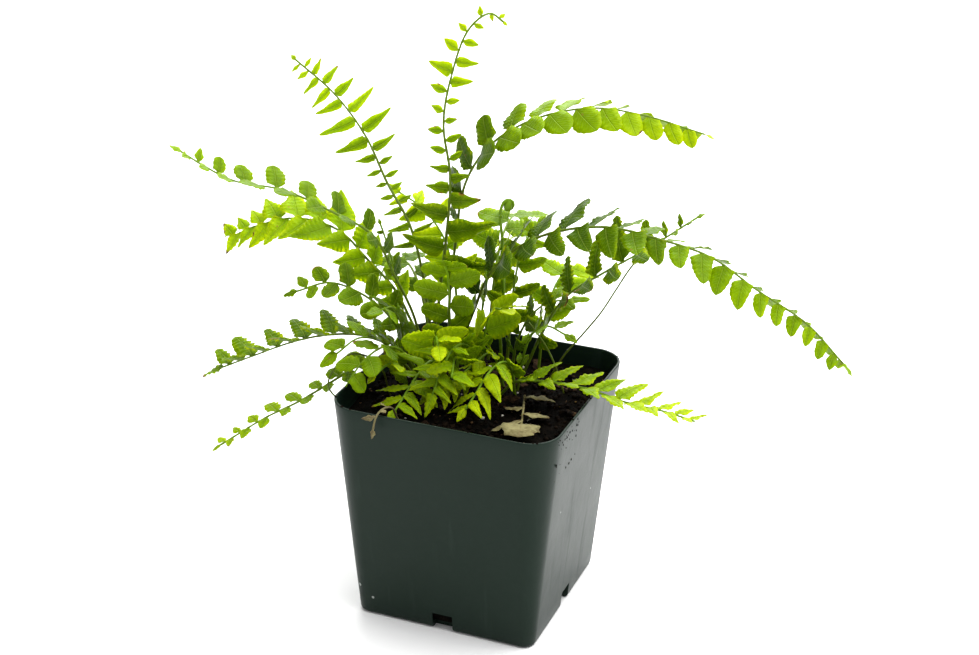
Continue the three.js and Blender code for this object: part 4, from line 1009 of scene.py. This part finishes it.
outlines = {  # half widths along a leaflet, on its plain side and on the side with an ear
    "oblong": {"plain": ((0.2, 0.84), (0.5, 0.8), (0.83, 0.46)),
               "ear": ((0.12, 0.98), (0.44, 0.86), (0.8, 0.54))},
    "round": {"plain": ((0.24, 0.88), (0.56, 0.92), (0.86, 0.56)),
              "ear": ((0.2, 0.96), (0.55, 1.0), (0.86, 0.62))},
    "pointed": {"plain": ((0.14, 0.82), (0.42, 0.74), (0.74, 0.34)),
                "ear": ((0.08, 0.9), (0.36, 0.86), (0.7, 0.42))},
    "small": {"plain": ((0.44, 0.88),), "ear": ((0.4, 0.98),)},
}
blade = {
    "columns": (-1.0, -0.55, 0.0, 0.55, 1.0), "fewestTeeth": 3, "rowsPerTooth": 4,
    "widestFoot": 0.5, "narrowFoot": 0.6, "tipSlope": 1.3, "bluntFrom": 0.62, "offRib": 0.25,
    "rootDepth": 0.3, "rootWidth": 0.25, "leastCut": 0.7, "moreCut": 0.6, "earLag": 0.35,
    "lobeSwell": 0.75, "lobeMiddle": 0.6, "uneven": 0.11, "unevenTurns": (1, 2, 3),
    "lobesFrom": (0.02, 0.12), "wave": 0.032, "waveTurns": 1.1, "moreTurns": 0.9, "waveSkew": 0.3,
    "ripple": 0.25, "curl": 0.1, "curlBack": 0.2, "droop": 0.05, "droopBack": 0.3,
    "bendFrom": (0.05, 0.3), "half": 0.16, "thinner": 0.09, "midrib": 0.06, "midribReach": 0.1,
    "tipHalf": 0.05, "placeShift": 40,
}
leafMarks = {
    "burnDepth": 0.3, "burnEnd": 1.1, "burnEdge": 0.1, "blotchShare": 0.9, "blotchHarm": 0.95,
    "blotchAlong": (0.2, 0.95), "blotchAcross": (0.7, 1.1), "blotchSoft": (0.03, 0.13),
    "blotchLong": 0.3, "toneAlong": 0.12, "alongMiddle": 0.5, "toneAcross": 0.14,
    "acrossMiddle": 0.4,
}


def smoothEdge(knots, u, foot, roundTip):  # half widths at u, through the solid's own corners
    x = np.array([0.0, *[k[0] for k in knots], 1.0])
    y = np.array([foot, *[k[1] for k in knots], 0.0])
    rise = np.diff(y) / np.diff(x)
    between = [0.0 if a * b <= 0 else 2 * a * b / (a + b) for a, b in zip(rise, rise[1:])]
    slope = np.array([rise[0], *between, rise[-1] * blade["tipSlope"]])
    k = np.clip(np.searchsorted(x, u, side="right") - 1, 0, len(x) - 2)
    h = x[k + 1] - x[k]
    t = (u - x[k]) / h
    curve = ((1 + 2 * t) * (1 - t) ** 2 * y[k] + t * (1 - t) ** 2 * h * slope[k]
             + t * t * (3 - 2 * t) * y[k + 1] + t * t * (t - 1) * h * slope[k + 1])
    turn = blade["bluntFrom"]
    blunt = np.interp(turn, x, y) * np.sqrt(np.clip(1 - ((u - turn) / (1 - turn)) ** 2, 0, 1))
    return np.where(u > turn, curve + (np.maximum(blunt, curve) - curve) * roundTip, curve)


def marginOf(u, teeth, lag, saw):  # rounded lobes, or teeth that lean to the tip, round 0
    x = u * teeth + lag
    lobes = x % 1.0 if saw else abs(np.sin(math.pi * x)) ** blade["lobeSwell"]
    return lobes - blade["lobeMiddle"]


def newGrowth():  # the mesh of one frond, gathered part by part
    return {part: [] for part in ("points", "faces", "tone", "harm", "under", "places", "slots")}


def addPart(growth, points, faces, tone, harm, under, places, slot):
    gather(growth["points"], growth["faces"], points, faces)
    for label, values in (("tone", tone), ("harm", harm), ("under", under)):
        growth[label] += np.broadcast_to(values, len(points)).tolist()
    growth["places"] += places.tolist()
    growth["slots"] += [slot] * len(faces)


def bladeFaces(rows, across, turned):  # the grid's top, its copy below, and the rim round both
    n, last = rows * across + 1, (rows - 1) * across
    top = [(a, a + across, a + across + 1, a + 1)
           for r in range(rows - 1) for a in range(r * across, (r + 1) * across - 1)]
    top += [(a, n - 1, a + 1) for a in range(last, n - 2)]
    rim = [*range(0, last + 1, across), n - 1, *range(n - 2, 0, -across), *range(across - 2, 0, -1)]
    faces = [tuple(reversed(f)) for f in top] + [tuple(i + n for i in f) for f in top]
    faces += [(b, b + n, a + n, a) for a, b in zip(rim, rim[1:] + rim[:1])]
    return [tuple(reversed(f)) for f in faces] if turned else faces


def growBlade(growth, leaf, look, tone, harm, rng):
    length, width, face = leaf["length"], leaf["width"], leaf["face"]
    teeth = max(blade["fewestTeeth"], round(length * look["teeth"]))
    outline = outlines["small" if length < bladeShape["smallBelow"] else look["shape"]]
    foot = 2 * (bladeShape["foot"] + bladeShape["footShare"] * length) / width
    foot = min(blade["widestFoot"], foot)
    u = np.linspace(0.0, 1.0, blade["rowsPerTooth"] * teeth + 1)[:-1]
    cut = look["cut"] * (blade["leastCut"] + blade["moreCut"] * rng.random())
    phase = rng.random()
    edges = []
    for knots, lag in ((outline["plain"], 0.0), (outline["ear"], blade["earLag"])):
        edge = smoothEdge(knots, u, foot * blade["narrowFoot"], look["round"])
        lobes = marginOf(u, teeth, lag, look["shape"] == "pointed")
        uneven = sum(math.sin(math.tau * rng.random()) * np.sin(math.pi * k * u) / k
                     for k in blade["unevenTurns"]) * blade["uneven"]
        edges.append(edge * (1 + (cut * lobes + uneven) * smooth(*blade["lobesFrom"], u)))
    columns = np.array(blade["columns"])
    across = len(columns)
    shares = np.where(columns[None, :] < 0, edges[0][:, None], edges[1][:, None]).ravel()
    uu, vv = np.repeat(u, across), np.tile(columns, len(u))
    off = abs(vv)
    middle = bladePoints(leaf, uu, vv, shares, blade["offRib"])
    root = leaf["at"] + leaf["out"] * leaf["radius"] * blade["rootDepth"]
    middle[:across] = root + leaf["across"] * (columns[:, None] * foot * width * blade["rootWidth"])
    turns = blade["waveTurns"] + blade["moreTurns"] * rng.random()
    wave = (blade["wave"] * length * off
            * np.sin(math.tau * (turns * uu + phase + blade["waveSkew"] * vv)))
    ripple = blade["ripple"] * cut * width * off ** 2 * np.sin(math.tau * (uu * teeth + phase))
    curl = -blade["curl"] * look["curl"] * width * off ** 3 * (rng.random() - blade["curlBack"])
    droop = -blade["droop"] * length * (rng.random() - blade["droopBack"]) * uu ** 3
    fade = smooth(*blade["bendFrom"], uu) * (1 - uu ** 6)
    middle += face * ((wave + ripple + curl) * fade + droop)[:, None]
    tip = bladePoints(leaf, 1.0, 0.0, 1.0, blade["offRib"]) + face * droop[-1]
    half = (blade["half"] - blade["thinner"] * off
            + blade["midrib"] * (1 - uu) * (off < blade["midribReach"]))[:, None]
    points = np.vstack([middle + face * half, tip + face * blade["tipHalf"],
                        middle - face * half, tip - face * blade["tipHalf"]])
    m = leafMarks
    burn = harm * smooth(1.0 - harm * m["burnDepth"], m["burnEnd"], uu + m["burnEdge"] * off)
    if rng.random() < harm * m["blotchShare"]:
        cu = rng.uniform(*m["blotchAlong"])
        cv = rng.choice((-1, 1)) * rng.uniform(*m["blotchAcross"])
        gone = smooth(*m["blotchSoft"], np.hypot(uu - cu, (vv - cv) * m["blotchLong"]))
        burn = np.maximum(burn, m["blotchHarm"] * (1 - gone))
    burn, uu, off = np.append(burn, harm), np.append(uu, 1.0), np.append(off, 0.0)
    shade = (tone + m["toneAlong"] * (uu - m["alongMiddle"])
             + m["toneAcross"] * (off ** 2 - m["acrossMiddle"]))
    place = np.c_[uu * length, np.append(vv * shares, 0) * width / 2,
                  np.full(len(uu), phase * blade["placeShift"])]
    addPart(growth, points, bladeFaces(len(u), across, leaf["turn"] < 0), np.tile(shade, 2),
            np.tile(burn, 2), np.repeat((0.0, 1.0), len(uu)), np.vstack([place, place]), 0)


bud = {"steps": 6, "sides": 8, "width": 0.27, "blunt": 0.7, "footWidth": 1.1, "narrower": 0.3,
       "sunk": 0.12, "aside": (0.3, 0.2, 0.93)}


def growBud(growth, at, axis, size, tone):  # a small closed knob, size long and half as wide
    forward = unit(axis)
    side = unit(np.cross(forward, bud["aside"]))
    up = np.cross(forward, side)
    turns = math.tau * np.arange(bud["sides"]) / bud["sides"]
    ring = np.outer(np.cos(turns), side) + np.outer(np.sin(turns), up)
    points = []
    for k in range(1, bud["steps"]):
        u = k / bud["steps"]
        wide = bud["width"] * size * math.sin(math.pi * u) ** bud["blunt"]
        wide *= bud["footWidth"] - bud["narrower"] * u
        points.append(at + forward * size * (u - bud["sunk"]) + wide * ring)
    points = np.vstack(points)
    addPart(growth, points, loftFaces(bud["steps"] - 1, bud["sides"]), tone, 0.0, 0.0, points, 1)


stem = {"fewestRings": 6, "swell": 0.22, "swellReach": 0.9, "flat": 0.9, "footTone": 0.35,
        "moreTone": 0.9, "plainTone": 0.1}


def growRib(growth, length, frameAt, joints, look):
    count, sides = max(stem["fewestRings"], int(length / ribShape["step"])), ribShape["sides"]
    s = np.linspace(0, length, count)
    f = frameAt(s)
    knots = sum((np.exp(-((s - j) / stem["swellReach"]) ** 2) for j in joints), np.zeros(count))
    foot, tip = look["thick"]
    radius = f["radius"] * (foot + (tip - foot) * s / length) * (1 + stem["swell"] * knots)
    angles = math.tau * np.arange(sides) / sides
    ring = (f["side"][:, None] * np.cos(angles)[None, :, None]
            + f["face"][:, None] * np.sin(angles)[None, :, None] * stem["flat"])
    points = (f["at"][:, None] + ring * radius[:, None, None]).reshape(-1, 3)
    t = np.repeat(s / length, sides)
    tone = look["stem"] * (stem["footTone"] + stem["moreTone"] * t) + stem["plainTone"]
    place = np.c_[t * length, np.tile(angles, count), np.zeros(len(t))]
    addPart(growth, points, loftFaces(count, sides), np.clip(tone, 0, 1), 0.0, 0.0, place, 1)


def findRib(frond, corners):  # the bow that the solid's rib has
    for aside in tries["bows"]:
        length, frameAt = ribOf(frond, aside)
        end = oneOf(frameAt(length))
        thick = max(end["radius"], bladeShape["thickness"] / 2)
        corner = end["at"] + end["side"] * end["radius"] + end["face"] * thick
        if corners.find(corner)[2] < tries["match"]:
            return length, frameAt
    raise RuntimeError("no rib of " + frond["name"] + " matches its solid")


def findLeaflet(leaf, at, corners):  # the pose that the solid's leaflet has, if it was grown
    for size in tries["shrinks"]:
        for tip in tries["tips"]:
            posed = leafletFrame(leaf, at, tip, size)
            end = bladePoints(posed, 1.0, 0.0, 1.0, bladeShape["offRib"])[0]
            if corners.find(end + posed["face"] * bladeShape["thickness"] / 2)[2] < tries["match"]:
                return posed
    return None


def cornersOf(name):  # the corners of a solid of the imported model, to look up by place
    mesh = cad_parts[name].data
    tree = kdtree.KDTree(len(mesh.vertices))
    for i, vertex in enumerate(mesh.vertices):
        tree.insert(vertex.co / mm, i)
    tree.balance()
    return tree


dress = {"seed": 500, "toneRise": (0.25, 0.95), "toneStray": 0.09, "harm": (0.25, 0.9),
         "burnt": (0.5, 1.0)}


def makeFrond(index, frond):
    name, kind = frond["name"], frond["tone"]
    look = {**anyLook, **plainLook[kind], **ownLook.get(name, {})}
    look["shape"] = frond.get("leaves", look)["shape"]
    corners = cornersOf(name)
    length, frameAt = findRib(frond, corners)
    rng = random.Random(dress["seed"] + index)
    growth, joints = newGrowth(), []
    for leaf in leafletsOf(frond, index, length):
        posed = findLeaflet(leaf, oneOf(frameAt(leaf["s"])), corners)
        if posed is None:
            continue
        joints.append(leaf["s"])
        posed["width"] *= look["wide"][leaf["side"] == 0]
        q = leaf["s"] / length
        # the leaflet's tone, deep to pale from the frond's foot to its tip, partly its own green
        # and partly painted glow and shade
        low, high = look["tone"]
        tone = low + (high - low) * smooth(*dress["toneRise"], q)
        tone += dress["toneStray"] * rng.uniform(-1, 1)
        harm = rng.uniform(*dress["harm"]) if rng.random() < look["harm"] else 0.0
        if q > look["burntFrom"]:
            harm = max(harm, rng.uniform(*dress["burnt"]))
        growBlade(growth, posed, look, tone, harm, rng)
    growRib(growth, length, frameAt, joints, look)
    for share, turn, size in look["buds"]:
        base = oneOf(frameAt(share * length))
        growBud(growth, base["at"], base["forward"] + turn * base["side"], size, look["stem"])
    if "head" in look:
        head = look["head"]
        lengths = np.linspace(length - head["coil"], length, head["points"])
        coil = frameAt(lengths)["at"].mean(axis=0)
        coil[2] -= head["below"] * head["size"]
        growBud(growth, coil, np.array(head["way"]), head["size"], look["stem"])
    dry = kind == "dry"
    blades = dryMaterial if dry else leafMaterials[kind]
    stems = dryMaterial if dry and joints else stemMaterial
    meshPiece(name + "_leaves", growth["points"], growth["faces"], [blades, stems],
              (name,),
              {"leaf" + part.capitalize(): growth[part] for part in ("tone", "harm", "under")},
              growth["places"], growth["slots"])
    return len(joints)


leafletCount = sum(makeFrond(index, frond) for index, frond in enumerate(fronds))
print("fronds made:", len(fronds), "with", leafletCount, "leaflets")

stageSetup = {  # the floor in millimetres, the lights in metres and watts
    "floorWidth": 24000.0, "floorDepth": 20.0, "floorBelow": 0.2,
    "low": linear(247, 247, 247), "high": linear(250, 250, 250),
    "roughness": 0.9, "specular": 0.2, "patchSize": 3.0, "patchFine": 4.0,
    "worldColour": (1, 1, 1, 1), "worldStrength": 0.55,
    "sun": {"energy": 1.9, "spread": 65.0, "way": (0.1, -0.35, -1)},
    "panels": {"backPanel": (14.0, (-0.25, 0.95, 0.75)), "topPanel": (16.0, (0.45, 0.1, 1.05))},
    "panelSize": 0.9, "panelAim": (0, 0, 0.12),
}


def makeStage():
    s = stageSetup
    material, n, shader = newMaterial("paleFloor", s)
    n.put(shader.inputs["Base Color"], n.mix(patchesOf(n, s), s["low"], s["high"]))
    points = boxPoints(s["floorWidth"], s["floorWidth"], -s["floorDepth"], 0.0)
    floor = newObject("studio_floor", newMesh("studio_floor", points, boxFaces, [material]))
    floor.location.z = -s["floorBelow"] * mm


def makeWorld():
    world = bpy.data.worlds.new("studio")
    world.use_nodes = True
    background = world.node_tree.nodes["Background"]
    background.inputs["Color"].default_value = stageSetup["worldColour"]
    background.inputs["Strength"].default_value = stageSetup["worldStrength"]
    bpy.context.scene.world = world


def aimed(thing, way):
    thing.rotation_euler = Vector(way).to_track_quat("-Z", "Y").to_euler()


def addLights():
    sun = bpy.data.lights.new("softSky", "SUN")
    sun.energy, sun.angle = stageSetup["sun"]["energy"], math.radians(stageSetup["sun"]["spread"])
    aimed(newObject("softSky", sun), stageSetup["sun"]["way"])
    for name, (power, place) in stageSetup["panels"].items():
        light = bpy.data.lights.new(name, "AREA")
        light.shape, light.size, light.energy = "SQUARE", stageSetup["panelSize"], power
        lamp = newObject(name, light)
        lamp.location = place
        aimed(lamp, Vector(stageSetup["panelAim"]) - Vector(place))


cameraPlace = {"azimuth": 0.3768, "elevation": 0.4115, "roll": 0.0129,
               "at": (258.03, -642.33, 430.18), "focal": 1758.1, "width": 979, "sensor": 36.0,
               "nearest": 0.01, "farthest": 100}


def addCamera():  # where the photo was taken from
    c = cameraPlace
    az, el, roll = c["azimuth"], c["elevation"], c["roll"]
    back = Vector((math.sin(az) * math.cos(el), -math.cos(az) * math.cos(el), math.sin(el)))
    right = Vector((0, 0, 1)).cross(back).normalized()
    up = back.cross(right)
    across = right * math.cos(roll) + up * math.sin(roll)
    upward = up * math.cos(roll) - right * math.sin(roll)
    data = bpy.data.cameras.new("photoView")
    data.sensor_width, data.sensor_fit = c["sensor"], "HORIZONTAL"
    data.lens = c["focal"] * c["sensor"] / c["width"]
    data.clip_start, data.clip_end = c["nearest"], c["farthest"]
    camera = newObject("photoView", data)
    camera.matrix_world = Matrix((across, upward, back)).transposed().to_4x4()
    camera.location = Vector(c["at"]) * mm
    bpy.context.scene.camera = camera


makeStage()
makeWorld()
addLights()
addCamera()
bpy.context.scene.view_settings.view_transform = "Standard"
print("stage, light and camera set")
